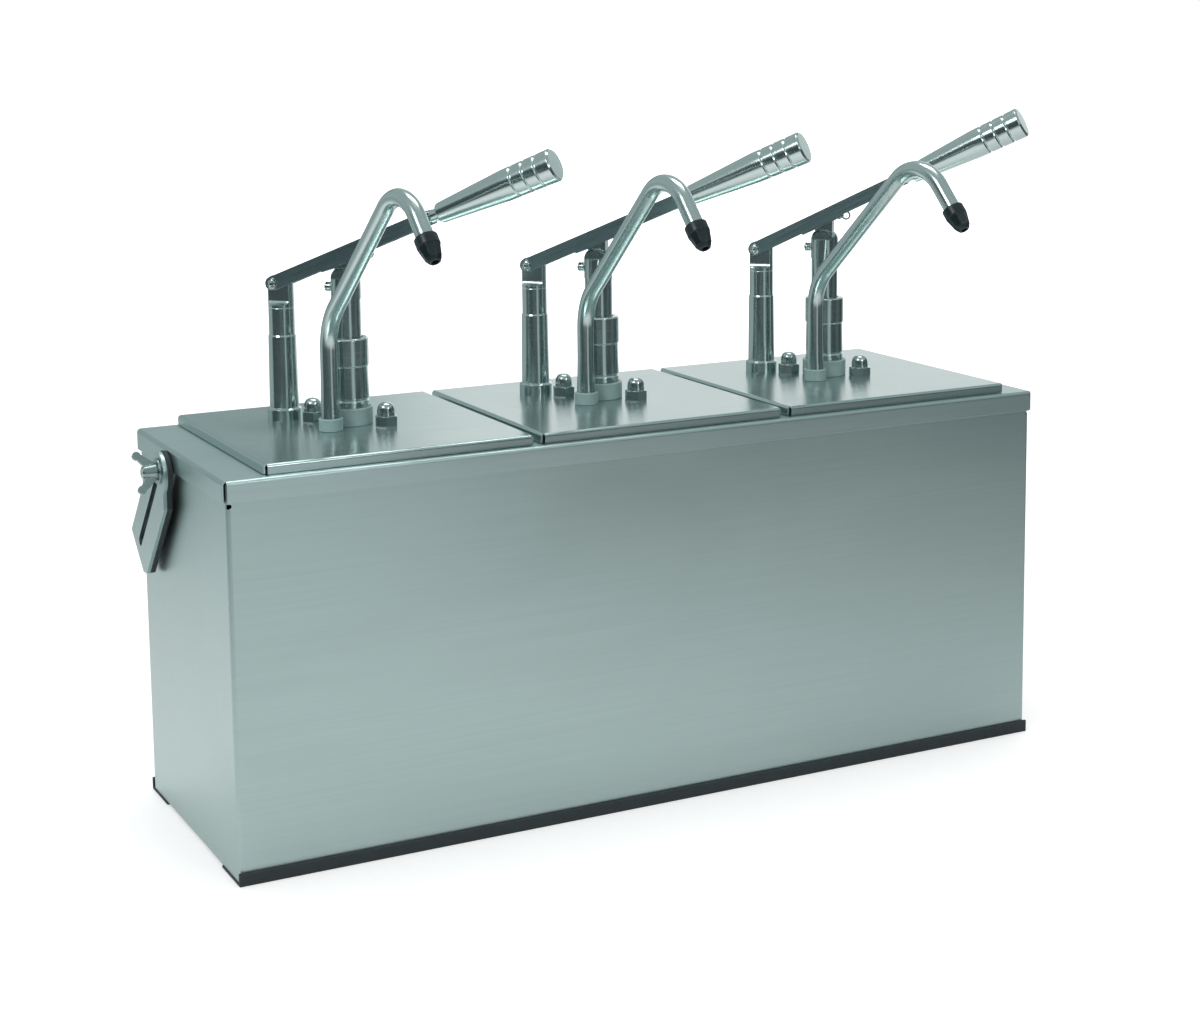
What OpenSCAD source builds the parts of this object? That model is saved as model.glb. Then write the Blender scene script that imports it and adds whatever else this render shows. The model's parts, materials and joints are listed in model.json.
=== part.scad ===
// Counter-top sauce station. A folded steel housing carries three deep pans side by side.
// Each pan is closed by a shallow folded lid, and each lid carries a lever pump: a post with
// a fulcrum, a lever with a turned handle, a piston in a long barrel, and a bent spout.
// Frame: +Z up, the counter at z = 0, the front wall's outer face at y = 0, x = 0 at mid width.

/* [Pans and lids] */
// Width of one lid, left to right
lid_w = 171; // [160:1:185]
// Depth of one lid, front to back
lid_d = 175; // [165:1:190]
// Height of a lid's top above the rim
lid_h = 6.4; // [5.6:0.2:9]
// Gap between neighbouring lids
lid_gap = 5; // [3:0.5:10]
// Play between a lid's lip and the pan rim below it
lid_play = 1.3; // [0.6:0.1:2]
// Depth of a pan from the lid's underside to the outside of its floor
pan_depth = 200; // [190:1:215]
// Thickness of the pan's steel
pan_t = 1; // [0.8:0.1:1.4]

/* [Housing] */
// Height of the rim's top above the counter
body_h = 240; // [232:1:280]
// Thickness of the housing and lid sheet
sheet_t = 1.2; // [0.8:0.1:1.5]
// Rim left bare beside the left lid
rim_left = 26.5; // [20:0.5:40]
// Rim left bare beside the right lid
rim_right = 20.5; // [18:0.5:40]
// Rim left bare in front of the lids
rim_front = 5.3; // [4:0.1:12]
// Rim left bare behind the lids
rim_back = 2; // [1:0.1:12]
// Height of the rim's folded lip
rim_lip_h = 13.2; // [10:0.2:20]
// Height of the rubber strip on the front and rear walls
strip_h = 8; // [6:0.5:14]
// Thickness of the rubber strips
strip_t = 2; // [1.4:0.1:3]

/* [Lever and post] */
// Direction of the levers in plan, turned from straight right towards the front
lever_turn = 47; // [40:1:55]
// Rise of each lever at rest, left to right, as they stand in the set
lever_rest = [22.2, 23.2, 26.1]; // [18:0.1:27]
// Rise of a lever pushed right down
lever_low = -8; // [-8:1:0]
// Length from the fulcrum to the end of the handle
lever_len = 205; // [190:1:230]
// Length of the handle
handle_len = 82.4; // [70:0.2:95]
// Diameter of the handle's free end
handle_d = 20.8; // [18:0.2:25]
// Height of the fulcrum above the lid
fulcrum_h = 86.8; // [84:0.2:96]
// Distance from the post to the pump
post_gap = 45.4; // [43:0.2:50]
// Diameter of the post above its collar
post_d = 18.4; // [17:0.2:21]

/* [Pump] */
// Diameter of the piston tube
piston_d = 18; // [16:0.2:18.4]
// Diameter of the pump head's collar
head_d = 26.4; // [26:0.2:30]
// Height of the pump head above the lid
head_h = 54.5; // [50:0.5:55]
// Inner diameter of the barrel
barrel_bore_d = 25; // [24:0.2:28]
// Distance from the pump to the spout
spout_gap = 25.4; // [25:0.2:32]
// Distance from the pump to each cap nut
nut_gap = 25.4; // [25:0.2:29]

/* [Spout] */
// Outer diameter of the spout tube
spout_d = 10.8; // [9.6:0.1:11.4]
// Bore of the spout tube
spout_bore_d = 8.8; // [7:0.1:8.8]
// Height of the spout's upright part above the lid
spout_rise = 50; // [40:1:70]
// Direction of each spout in plan, left to right, as they stand in the set
spout_turn = [84, 86, 81]; // [70:1:100]
// Length of the spout's sloping part
spout_run = 95; // [80:1:120]
// Length of each spout's straight end, from left to right
spout_drop = [17.5, 21, 21]; // [14:0.5:40]
// Radius of the lower bend
bend_low_r = 38; // [30:1:50]
// Radius of the top bend
bend_top_r = 26; // [20:1:32]

/* [Clamps] */
// Length of a clamp plate past its stud
clamp_len = 84; // [70:1:95]
// Width of a clamp plate
clamp_w = 38.4; // [32:0.2:42]
// Thickness of a clamp plate
clamp_t = 2.5; // [2:0.1:4]
// Thickness of the rubber pad behind a clamp plate
clamp_pad_t = 3.5; // [3:0.5:8]
// Slope of a clamp plate, down from level towards the back
clamp_tilt = 47.8; // [30:0.2:70]
// Distance of a clamp stud behind the front wall
clamp_y = 108.6; // [95:0.2:125]
// Depth of a clamp stud below the rim's top
clamp_drop = 13.6; // [13:0.2:30]

/* [Hidden] */
$fn = 48;

// Clearances that every fit shares
cut = 1;          // overrun of a cut past the face it opens
seat_gap = 0.05;  // between pieces that are fixed to each other
run_gap = 0.3;    // between pieces that move past each other
pin_gap = 0.05;   // radial, between a pin and the bore it turns in
slide_gap = 0.1;  // radial, between the piston and the bore it slides in
LEFT = 0;
MIDDLE = 1;
RIGHT = 2;

// Housing and rim
rim_bend_r = 2.4;
lid_bend_r = 2;
wall_bend_r = 3;
rim_over_side = 2;                        // rim past the side walls
rim_over_front = sheet_t + 2 * seat_gap;  // rim past the front and rear walls
lid_pitch = lid_w + lid_gap;
rim_w = rim_left + 3 * lid_w + 2 * lid_gap + rim_right;
rim_d = rim_front + lid_d + rim_back;
body_w = rim_w - 2 * rim_over_side;
body_d = rim_d - 2 * rim_over_front;
lids_x = (rim_left - rim_right) / 2;
lid_y = rim_front - rim_over_front + lid_d / 2;
lid_top = body_h + lid_h;
lid_under = lid_top - sheet_t;
relief_r = 1.6;                           // small hole under each corner of the lip
strip_foot = 32;                          // reach of a foot strip under the floor
strip_end = 0.6;                          // strip past the side walls

// Pans
pan_seat = 5;                             // width of pan rim that rests on the frame
pan_play = 1.5;                           // between the pan and its opening
pan_rim_w = lid_w - 2 * (sheet_t + lid_play);
pan_rim_d = lid_d - 2 * (sheet_t + lid_play);
hole_w = pan_rim_w - 2 * pan_seat;
hole_d = pan_rim_d - 2 * pan_seat;
pan_w = hole_w - 2 * pan_play;
pan_d = hole_d - 2 * pan_play;
pan_draft = 5;                            // how much each wall leans in towards the floor
pan_r = 20;                               // corner radius of the tub
pan_rim_r = 12;
hole_r = pan_r + pan_play;
pan_floor = lid_under - pan_depth;        // outside of the pan's floor

// Post and fulcrum, heights from the lid's top
collar_rim = 1.6;
collar_d = post_d + 2 * collar_rim;
collar_h = 8.1;
post_ledge = 1;                            // how far the post steps in, and over what height
neck_below = 33.3;                        // post's thin part, below the fulcrum
tongue_below = 12.3;                      // tongue's start, below the fulcrum
tongue_above = 4.7;                       // tongue's end, above the fulcrum
post_neck_d = post_d - 2 * post_ledge;
post_step_h = fulcrum_h - neck_below;
tongue_h = fulcrum_h - tongue_below;
tongue_top = fulcrum_h + tongue_above;
tongue_r = 3;
tongue_back = 3.5;                        // fulcrum behind the post's axis
spigot_d = 10;
spigot_len = 7;
pin_d = 4.8;
pin_head_d = 7.4;
pin_head_t = 1.4;

// Lever, measured along its own slope
lever_w = 11;
lever_deep = 9;
lever_wall = 1.5;
lever_in = lever_w - 2 * lever_wall;
tongue_t = lever_in - 2 * run_gap;
web_start = 14.5;                         // bare cheeks up to here, so the tongue has room
neck_d = 7.8;
neck_out = 6;                             // bare neck between channel and grip
tang_len = 18;                            // thinner end inside the channel
tang_d = lever_deep - 2 * lever_wall - 2 * seat_gap;
lever_bar = lever_len - handle_len - neck_out;
handle_small_d = 13;
handle_taper_share = 0.58;                // share of the grip that widens fast
handle_round = 1.2;
handle_gain_d = 1.2;                        // what the rest of the grip still gains
groove_w = 1.5;
groove_deep = 0.8;
groove_gap = 8.6;
groove_first = 10;
GROOVES = 3;
link_d = 3;
link_ahead = 1.9;                         // link pin past the pump's axis, lever level
link_reach = post_gap + tongue_back + link_ahead;
link_drop = 1.5;
saddle_len = 30;
saddle_t = 1.2;
saddle_slot = 22;
clip_r = 2.6;
clip_wire_r = 0.6;
clip_leg = 3.4;

// Piston, heights from the lid's top
yoke_side = 1;                            // between the yoke and the lever's cheeks
yoke_t = lever_in - 2 * yoke_side;
yoke_wall = 1.4;
yoke_play = 0.5;
yoke_slot = 9.4;
yoke_rise = 6.5;                          // from the dome's top to the link pin
piston_ledge = 0.35;
piston_head_d = piston_d + 2 * piston_ledge;
piston_head_len = 19.5;
dome_r = 6.6;
dome_flat_t = 12;                         // across the flats milled on the dome
rod_d = 10;
cup_d = barrel_bore_d - 2 * run_gap;
cup_len = 14;
cup_drop = 226;                           // cup's top below the link pin
tube_len = 135.5;                         // piston tube's end below the link pin
screw_drop = 18.9;                        // lock screw below the link pin
screw_d = 3;
screw_in = 3;
screw_knob_d = 6.2;
screw_knob_len = 4.2;
screw_out = 0.6;
screw_groove = 0.5;
screw_shares = [0.3, 0.5, 0.8];           // groove and rounding along the knob

// Pump head and barrel
head_ledge = 0.7;
head_foot_ledge = 0.3;
head_low_d = head_d - 2 * head_ledge;
head_foot_d = head_d - 2 * head_foot_ledge;
head_collar_h = 18;
head_step_h = head_h - head_collar_h;
head_chamfer = 0.9;
head_groove_h = 16.6;
head_bore_d = piston_d + 2 * slide_gap;
wiper_deep = 4;                           // recess at the top of the head
wiper_d = piston_head_d + 2 * run_gap;
spigot_deep = 8;
barrel_wall = 1.6;
barrel_d = barrel_bore_d + 2 * barrel_wall;
ring_wall = 1.95;
pump_ring_h = 11;
spout_ring_h = 7.9;
spout_ring_wall = 2.1;
flange_t = 3;
flange_w = 36;
flange_end = 11;
foot_gap = 6;                             // valve foot above the pan's floor
foot_len = 18;
inlet_d = 12;
ball_d = 14;
arm_w = 17;
arm_h = 20;
passage_d = 6;
riser_in = 8;
ledge_h = 4;
ledge_drop = 92.4;                        // spring ledge below the lid's top
foot_z = pan_floor + pan_t + foot_gap;
chamber_z = foot_z + foot_len;
arm_drop = 2;                             // arm's underside below the chamber's floor
arm_z = chamber_z - arm_drop;
ledge_z = lid_top - ledge_drop;
SPRING_TURNS = 8;
SPRING_STEPS = 12;
SPRING_SIDES = 6;
spring_wire_d = 1.8;
spring_d = 16.4;

// Cap nuts
nut_af = 13;
nut_hex_h = 7;
nut_dome_d = 12.2;
nut_h = 14.5;
stud_d = 7.8;
stud_up = 9;

// Spout and nozzle
bend_low_a = 46;
bend_top_a = 94;
flare_out = 0.6;                         // spout thicker at the lid by this, all round
flare_len = 22;
seam_out = 0.05;                         // faint ring where a bend meets a straight
seam_len = 1.2;
nozzle_wall = 1.6;
nozzle_sleeve = 6.5;
nozzle_over = 3;
nozzle_cone = 10.5;
nozzle_tip_d = 7.6;
nozzle_bore_d = 4.6;
NOZZLE_SIDES = 8;

// Clamps
clamp_gap = run_gap;
clamp_nose_r = 14;
clamp_top = 11;                           // plate above its stud
clamp_side = 17.2;                        // from the slot to the plate's rear edge
clamp_shoulder = 44;                      // where the rear edge starts to run straight
clamp_neck = 12;                          // where the front edge starts to run straight
clamp_tuck = 0.5;                         // outline inside the nose where they meet
clamp_corner = 5;
slot_w = 6.6;
slot_end = 11.1;                          // from the slot's end to the plate's end
clamp_stud_d = 6;
clamp_stud_out = 10.5;
stud_foot_d = 12;
stud_foot_t = 1.5;
washer_d = 16;
washer_t = 1.4;
wing_hub_d = 10;
wing_hub_top_d = 7.5;
wing_hub_h = 8.5;
wing_span = 27;
wing_h = 13;
wing_t = 2.4;
wing_r = 2.6;
wing_turn = [30, 80];                      // left and right nut, from upright

// Positions worked out from the sizes above
function lid_x(i) = lids_x + (i - MIDDLE) * lid_pitch;
function pump_x(i) = lid_x(i) + pump_dx;
function dir(a) = [cos(a), sin(a)];
pump_dx = 1.5;                            // pump right of the lid's centre
pump_dy = 6.2;                            // pump behind the lid's centre
pump_y = lid_y + pump_dy;
clamp_z = body_h - clamp_drop;
pad_x = rim_w / 2 + clamp_gap;
plate_x = pad_x + clamp_pad_t;
outer_x = plate_x + clamp_t;
function link_z(a) = fulcrum_h + link_reach * sin(a) - link_drop * cos(a);

// Spout centreline: reach forward and height above the lid where each part ends
low_end = [bend_low_r * (1 - cos(bend_low_a)), spout_rise + bend_low_r * sin(bend_low_a)];
run_end = low_end + spout_run * [sin(bend_low_a), cos(bend_low_a)];
top_mid = run_end + bend_top_r * [cos(bend_low_a), -sin(bend_low_a)];
bend_all_a = bend_low_a + bend_top_a;
top_end = top_mid + bend_top_r * [-cos(bend_all_a), sin(bend_all_a)];
function spout_end(i) = top_end + spout_drop[i] * [sin(bend_all_a), cos(bend_all_a)];

// Flat shapes
module rounded(w, d, r) {
    square([w - 2 * r, d], center = true);
    square([w, d - 2 * r], center = true);
    for (x = [-1, 1], y = [-1, 1])
        translate([x * (w / 2 - r), y * (d / 2 - r)]) circle(r);
}

module annulus(d_out, d_in) {
    difference() {
        circle(d = d_out);
        circle(d = d_in);
    }
}

module ring(d_out, d_in, h) {
    difference() {
        cylinder(d = d_out, h = h);
        translate([0, 0, -cut]) cylinder(d = d_in, h = h + 2 * cut);
    }
}

// One folded edge: a quarter bend from the sheet's top, then the lip down to depth h
module fold(len, h, r, t) {
    translate([0, len / 2, 0]) rotate([90, 0, 0]) linear_extrude(len) {
        translate([0, -r]) intersection() {
            annulus(2 * r, 2 * (r - t));
            square([r, r]);
        }
        translate([r - t, -h]) square([t, h - r]);
    }
}

// A sheet folded down on all four sides, open at its corners, with its top at z = 0
module folded_tray(w, d, h, r, t) {
    translate([-(w / 2 - r), -(d / 2 - r), -t]) cube([w - 2 * r, d - 2 * r, t]);
    for (s = [0, 180]) {
        rotate([0, 0, s]) translate([w / 2 - r, 0, 0]) fold(d - 2 * r, h, r, t);
        rotate([0, 0, s + 90]) translate([d / 2 - r, 0, 0]) fold(w - 2 * r, h, r, t);
    }
}

// Places
module at_lid(i) {
    translate([lid_x(i), lid_y, 0]) children();
}

// The pump's own frame: origin on the lid's top at the piston's axis, +X along the lever
module at_pump(i) {
    translate([pump_x(i), pump_y, lid_top]) rotate([0, 0, -lever_turn]) children();
}

module at_fulcrum() {
    translate([-post_gap - tongue_back, 0, fulcrum_h]) children();
}

module at_spout(i) {
    translate([0, -spout_gap, 0]) rotate([0, 0, lever_turn - spout_turn[i]]) children();
}

// Housing
module housing() {
    top = body_h - rim_bend_r - seat_gap;
    color("#8fa3a1") difference() {
        translate([0, body_d / 2, strip_t]) linear_extrude(top - strip_t)
            rounded(body_w, body_d, wall_bend_r);
        translate([0, body_d / 2, strip_t + sheet_t]) linear_extrude(top)
            rounded(body_w - 2 * sheet_t, body_d - 2 * sheet_t, wall_bend_r - sheet_t);
        for (x = [-1, 1], y = [-1, 1])
            translate([x * (body_w / 2 - relief_r), body_d / 2 + y * body_d / 2,
                       body_h - rim_lip_h - relief_r])
                rotate([90, 0, 0]) cylinder(r = relief_r, h = 2 * wall_bend_r, center = true);
    }
}

module rim_frame() {
    color("#9db0ae") difference() {
        translate([0, body_d / 2, body_h])
            folded_tray(rim_w, rim_d, rim_lip_h, rim_bend_r, sheet_t);
        for (i = [LEFT : RIGHT])
            at_lid(i) translate([0, 0, body_h - sheet_t - cut])
                linear_extrude(sheet_t + 2 * cut) rounded(hole_w, hole_d, hole_r);
        for (side = [LEFT, RIGHT])
            on_stud(side, body_w / 2) cylinder(d = clamp_stud_d + 2 * seat_gap, h = clamp_stud_out);
    }
}

module foot_strip() {
    w = body_w + 2 * strip_end;
    translate([-w / 2, -strip_t, 0]) cube([w, strip_t, strip_h]);
    translate([-w / 2, -strip_t, 0]) cube([w, strip_foot + strip_t, strip_t]);
}

module foot_strips() {
    color("#1d2526") {
        foot_strip();
        translate([0, body_d, 0]) mirror([0, 1, 0]) foot_strip();
    }
}

// Pans
module pan_tub(w, d, r, z_low, z_high) {
    hull() {
        translate([0, 0, z_high - pan_t]) linear_extrude(pan_t) rounded(w, d, r, $fn = 32);
        translate([0, 0, z_low]) linear_extrude(pan_t)
            rounded(w - 2 * pan_draft, d - 2 * pan_draft, r, $fn = 32);
    }
}

module pan(i) {
    flange_z = lid_under - pan_t;
    in_w = pan_w - 2 * pan_t;
    in_d = pan_d - 2 * pan_t;
    color("#aab9b8") at_lid(i) {
        difference() {
            pan_tub(pan_w, pan_d, pan_r, pan_floor, lid_under);
            pan_tub(in_w, in_d, pan_r - pan_t, pan_floor + pan_t, lid_under + cut);
        }
        translate([0, 0, flange_z]) linear_extrude(pan_t) difference() {
            rounded(pan_rim_w, pan_rim_d, pan_rim_r);
            rounded(in_w, in_d, pan_r - pan_t);
        }
        translate([0, 0, body_h]) linear_extrude(flange_z - body_h) difference() {
            rounded(pan_rim_w, pan_rim_d, pan_rim_r);
            rounded(pan_rim_w - 2 * pan_t, pan_rim_d - 2 * pan_t, pan_rim_r - pan_t);
        }
    }
}

// Lids
module lid(i) {
    color("#b3c1bf") difference() {
        at_lid(i) translate([0, 0, lid_top])
            folded_tray(lid_w, lid_d, lid_h - run_gap, lid_bend_r, sheet_t);
        at_pump(i) translate([0, 0, -sheet_t - cut]) {
            through = sheet_t + 2 * cut;
            cylinder(d = barrel_bore_d, h = through);
            translate([0, -spout_gap, 0]) cylinder(d = spout_d + 2 * seat_gap, h = through);
            translate([-post_gap, 0, 0]) cylinder(d = spigot_d + 2 * seat_gap, h = through);
            for (s = [-1, 1])
                translate([s * nut_gap, 0, 0]) cylinder(d = stud_d + 2 * seat_gap, h = through);
        }
    }
}

// Post: collar, tapered shaft, stepped neck and a flat tongue that the lever's cheeks straddle
module post(i) {
    tongue_w = post_neck_d;
    color("#5e7072") at_pump(i) difference() {
        union() {
            translate([-post_gap, 0, 0]) {
                rotate_extrude() polygon([
                    [0, -spigot_len], [spigot_d / 2, -spigot_len], [spigot_d / 2, 0],
                    [collar_d / 2, 0], [collar_d / 2, collar_h - post_ledge],
                    [post_d / 2, collar_h], [post_neck_d / 2 + post_ledge / 2, post_step_h],
                    [post_neck_d / 2, post_step_h + post_ledge], [post_neck_d / 2, tongue_h],
                    [0, tongue_h]
                ]);
                intersection() {
                    translate([0, 0, tongue_h - cut])
                        cylinder(d = post_neck_d, h = tongue_top - tongue_h + cut);
                    translate([0, tongue_t / 2, 0]) rotate([90, 0, 0]) linear_extrude(tongue_t)
                        translate([0, (tongue_h - cut) / 2 + tongue_top / 2])
                            rounded(tongue_w, tongue_top - tongue_h + cut, tongue_r);
                }
            }
        }
        at_fulcrum() rotate([90, 0, 0])
            cylinder(d = pin_d + 2 * seat_gap, h = post_d, center = true);
    }
}

module fulcrum_pin(i) {
    half = lever_w / 2 + run_gap;
    color("#c5d0cf") at_pump(i) at_fulcrum() rotate([90, 0, 0]) {
        cylinder(d = pin_d, h = 2 * half, center = true);
        for (s = [0, 180]) rotate([s, 0, 0]) translate([0, 0, half])
            cylinder(d1 = pin_head_d, d2 = pin_d, h = pin_head_t);
    }
}

// Lever: a channel, open below, whose bare cheeks carry the fulcrum and the link pin
module lever(i) {
    color("#4f6163") at_pump(i) at_fulcrum() rotate([0, -lever_rest[i], 0]) difference() {
        translate([0, lever_w / 2, 0]) rotate([90, 0, 0]) linear_extrude(lever_w) {
            circle(d = lever_deep);
            translate([0, -lever_deep / 2]) square([lever_bar, lever_deep]);
        }
        translate([-lever_deep, -lever_in / 2, -lever_deep])
            cube([lever_bar + lever_deep + cut, lever_in, lever_deep * 3 / 2 - lever_wall]);
        translate([-lever_deep, -lever_in / 2, 0])
            cube([lever_deep + web_start, lever_in, lever_deep]);
        rotate([90, 0, 0]) cylinder(d = pin_d + 2 * pin_gap, h = 2 * lever_w, center = true);
        translate([link_reach, 0, -link_drop]) rotate([90, 0, 0])
            cylinder(d = link_d + 2 * seat_gap, h = 2 * lever_w, center = true);
    }
}

// Handle: a neck held in the channel's end and a tapered grip with turned grooves
module handle(i) {
    neck_x = lever_bar + seat_gap;
    grip_x = lever_len - handle_len;
    taper_x = grip_x + handle_len * handle_taper_share;
    taper_d = handle_d - handle_gain_d;
    slow_len = lever_len - taper_x;
    color("#b9c6c5") at_pump(i) at_fulcrum() rotate([0, -lever_rest[i], 0])
        rotate([0, 90, 0]) difference() {
            rotate_extrude() polygon([
                [0, lever_bar - tang_len], [tang_d / 2, lever_bar - tang_len],
                [tang_d / 2, neck_x], [neck_d / 2, neck_x],
                [neck_d / 2, grip_x], [handle_small_d / 2 - handle_round / 2, grip_x],
                [handle_small_d / 2, grip_x + handle_round], [taper_d / 2, taper_x],
                [handle_d / 2, lever_len - handle_round],
                [handle_d / 2 - handle_round, lever_len], [0, lever_len]
            ]);
            for (k = [0 : GROOVES - 1]) {
                back = groove_first + k * groove_gap;
                floor_d = handle_d - handle_gain_d * back / slow_len - 2 * groove_deep;
                translate([0, 0, lever_len - back - groove_w / 2])
                    ring(handle_d + 2 * cut, floor_d, groove_w);
            }
        }
}

// Saddle under the lever: a slotted plate, the link pin and a spring clip at its front end
module saddle(i) {
    front_x = link_reach + saddle_len / 2;
    low = -lever_deep / 2 - saddle_t;
    color("#6d7f80") at_pump(i) at_fulcrum() rotate([0, -lever_rest[i], 0]) {
        difference() {
            translate([front_x - saddle_len, -lever_w / 2, low])
                cube([saddle_len, lever_w, saddle_t]);
            translate([link_reach - saddle_slot / 2, -lever_in / 2, low - cut])
                cube([saddle_slot, lever_in, saddle_t + 2 * cut]);
        }
        translate([link_reach, 0, -link_drop]) rotate([90, 0, 0])
            cylinder(d = link_d, h = lever_w, center = true);
        translate([front_x, 0, low - clip_wire_r / 2]) {
            translate([clip_r, 0, 0]) rotate([90, 0, 0])
                rotate_extrude() translate([clip_r, 0]) circle(clip_wire_r);
            translate([-clip_leg, 0, 0]) rotate([0, 90, 0])
                cylinder(r = clip_wire_r, h = clip_leg + clip_wire_r / 2);
        }
    }
}

// Piston: slotted yoke, flattened dome, tube, rod and cup in one welded piece
module piston(i) {
    z_link = link_z(lever_rest[i]);
    dome_top = z_link - yoke_rise;
    head_low = dome_top - piston_head_len;
    tube_low = z_link - tube_len;
    cup_top = z_link - cup_drop;
    yoke_w = yoke_slot + 2 * yoke_wall;
    slot_h = link_d + 2 * yoke_play;
    yoke_r = slot_h / 2 + yoke_wall;
    color("#8a9c9c") at_pump(i) difference() {
        union() {
            rotate_extrude() {
                translate([0, cup_top - cup_len]) square([rod_d / 2, dome_top - cup_top + cup_len]);
                translate([0, cup_top - cup_len]) square([cup_d / 2, cup_len]);
                translate([0, tube_low]) square([piston_d / 2, dome_top - dome_r - tube_low]);
                translate([0, head_low]) square([piston_head_d / 2, piston_head_len - dome_r]);
                translate([piston_head_d / 2 - dome_r, dome_top - dome_r]) intersection() {
                    circle(dome_r);
                    square(dome_r);
                }
                translate([0, head_low])
                    square([piston_head_d / 2 - dome_r, piston_head_len]);
            }
            translate([0, yoke_t / 2, 0]) rotate([90, 0, 0]) linear_extrude(yoke_t)
                translate([0, z_link - (yoke_rise + dome_r - yoke_r) / 2])
                    rounded(yoke_w, yoke_rise + dome_r + yoke_r, yoke_r);
        }
        translate([0, 0, z_link]) rotate([90, 0, 0])
            linear_extrude(2 * piston_d, center = true)
                rounded(yoke_slot, slot_h, slot_h / 2 - seat_gap);
        for (s = [-1, 1])
            translate([-piston_d, s * (dome_flat_t / 2 + piston_d / 2) - piston_d / 2,
                       dome_top - dome_r])
                cube([2 * piston_d, piston_d, dome_r + cut]);
        translate([-piston_head_d / 2 - cut, 0, z_link - screw_drop]) rotate([0, 90, 0])
            cylinder(d = screw_d + 2 * seat_gap, h = screw_in + cut);
    }
}

module lock_screw(i) {
    z = link_z(lever_rest[i]) - screw_drop;
    start = piston_head_d / 2;
    knob = start + screw_out;
    r = screw_knob_d / 2;
    color("#9fb0af") at_pump(i) translate([0, 0, z]) rotate([0, -90, 0]) {
        translate([0, 0, start - screw_in + seat_gap])
            cylinder(d = screw_d, h = screw_in + screw_out + screw_groove);
        translate([0, 0, knob]) rotate_extrude() polygon([
            [0, 0], [r, 0], [r, screw_knob_len * screw_shares[0]],
            [r - screw_groove, screw_knob_len * screw_shares[0]],
            [r - screw_groove, screw_knob_len * screw_shares[1]],
            [r, screw_knob_len * screw_shares[1]], [r, screw_knob_len * screw_shares[2]],
            [r / 2, screw_knob_len], [0, screw_knob_len]
        ]);
    }
}

// Pump head: the stepped collar above the lid, with a spigot in the barrel
module pump_head(i) {
    color("#7d9091") at_pump(i) difference() {
        rotate_extrude() polygon([
            [0, -spigot_deep], [barrel_bore_d / 2 - seat_gap, -spigot_deep],
            [barrel_bore_d / 2 - seat_gap, 0], [head_foot_d / 2, 0],
            [head_foot_d / 2, head_groove_h - groove_w],
            [head_foot_d / 2 - groove_deep, head_groove_h - groove_w / 2],
            [head_foot_d / 2, head_groove_h],
            [head_low_d / 2, head_step_h],
            [head_d / 2, head_step_h + head_chamfer], [head_d / 2, head_h - head_chamfer],
            [head_d / 2 - head_chamfer, head_h], [0, head_h]
        ]);
        translate([0, 0, -spigot_deep - cut])
            cylinder(d = head_bore_d, h = head_h + spigot_deep + 2 * cut);
        translate([0, 0, head_h - wiper_deep]) cylinder(d = wiper_d, h = wiper_deep + cut);
    }
}

module lid_rings(i) {
    in_d = head_foot_d + 2 * seat_gap;
    color("#8d9b9a") at_pump(i) {
        ring(in_d + 2 * ring_wall, in_d, pump_ring_h);
        translate([0, -spout_gap, 0])
            ring(spout_d + 2 * spout_ring_wall, spout_d + 2 * seat_gap, spout_ring_h);
    }
}

module cap_nut() {
    difference() {
        union() {
            cylinder(d = nut_af / cos(30), h = nut_hex_h, $fn = 6);
            cylinder(d = nut_dome_d, h = nut_h - nut_dome_d / 2);
            translate([0, 0, nut_h - nut_dome_d / 2]) sphere(d = nut_dome_d);
        }
        translate([0, 0, -cut]) cylinder(d = stud_d + 2 * seat_gap, h = stud_up + cut + seat_gap);
    }
}

module cap_nuts(i) {
    color("#a9b7b6") at_pump(i) for (s = [-1, 1]) translate([s * nut_gap, 0, 0]) cap_nut();
}

// Barrel: flange plate with its two studs, tube, spring ledge, valve foot with its ball,
// and the arm that leads the sauce across to the spout
module barrel(i) {
    top = -sheet_t;
    foot = foot_z - lid_top;
    chamber = chamber_z - lid_top;
    arm = arm_z - lid_top;
    flange_len = post_gap + nut_gap + 2 * flange_end;
    passage = arm + arm_h / 2;
    ledge = ledge_z - lid_top;
    color("#97a8a7") at_pump(i) {
        difference() {
            union() {
                translate([(nut_gap - post_gap) / 2, 0, top - flange_t])
                    linear_extrude(flange_t) rounded(flange_len, flange_w, flange_end);
                translate([0, 0, foot]) cylinder(d = barrel_d, h = top - foot);
                translate([-arm_w / 2, -spout_gap, arm]) cube([arm_w, spout_gap, arm_h]);
                translate([0, -spout_gap, arm]) cylinder(d = arm_w, h = arm_h);
                for (s = [-1, 1])
                    translate([s * nut_gap, 0, top - flange_t])
                        cylinder(d = stud_d, h = stud_up + flange_t - top);
            }
            translate([0, 0, chamber])
                cylinder(d = barrel_bore_d, h = ledge - ledge_h - chamber);
            translate([0, 0, ledge]) cylinder(d = barrel_bore_d, h = ledge_drop);
            translate([0, 0, chamber]) cylinder(d = rod_d + 2 * run_gap, h = -chamber);
            translate([0, 0, foot - cut]) cylinder(d = inlet_d, h = foot_len + 2 * cut);
            translate([0, -spout_gap, arm + arm_h - riser_in])
                cylinder(d = spout_d + 2 * seat_gap, h = riser_in + cut);
            translate([0, -spout_gap, passage - passage_d / 2])
                cylinder(d = spout_bore_d, h = arm_h);
            translate([0, 0, passage]) rotate([90, 0, 0])
                cylinder(d = passage_d, h = spout_gap);
            translate([-post_gap, 0, top - flange_t - cut])
                cylinder(d = spigot_d + 2 * seat_gap, h = flange_t + 2 * cut);
        }
        seat = sqrt(pow(ball_d / 2, 2) - pow(inlet_d / 2, 2));
        translate([0, 0, chamber + seat + seat_gap]) sphere(d = ball_d);
    }
}

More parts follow.
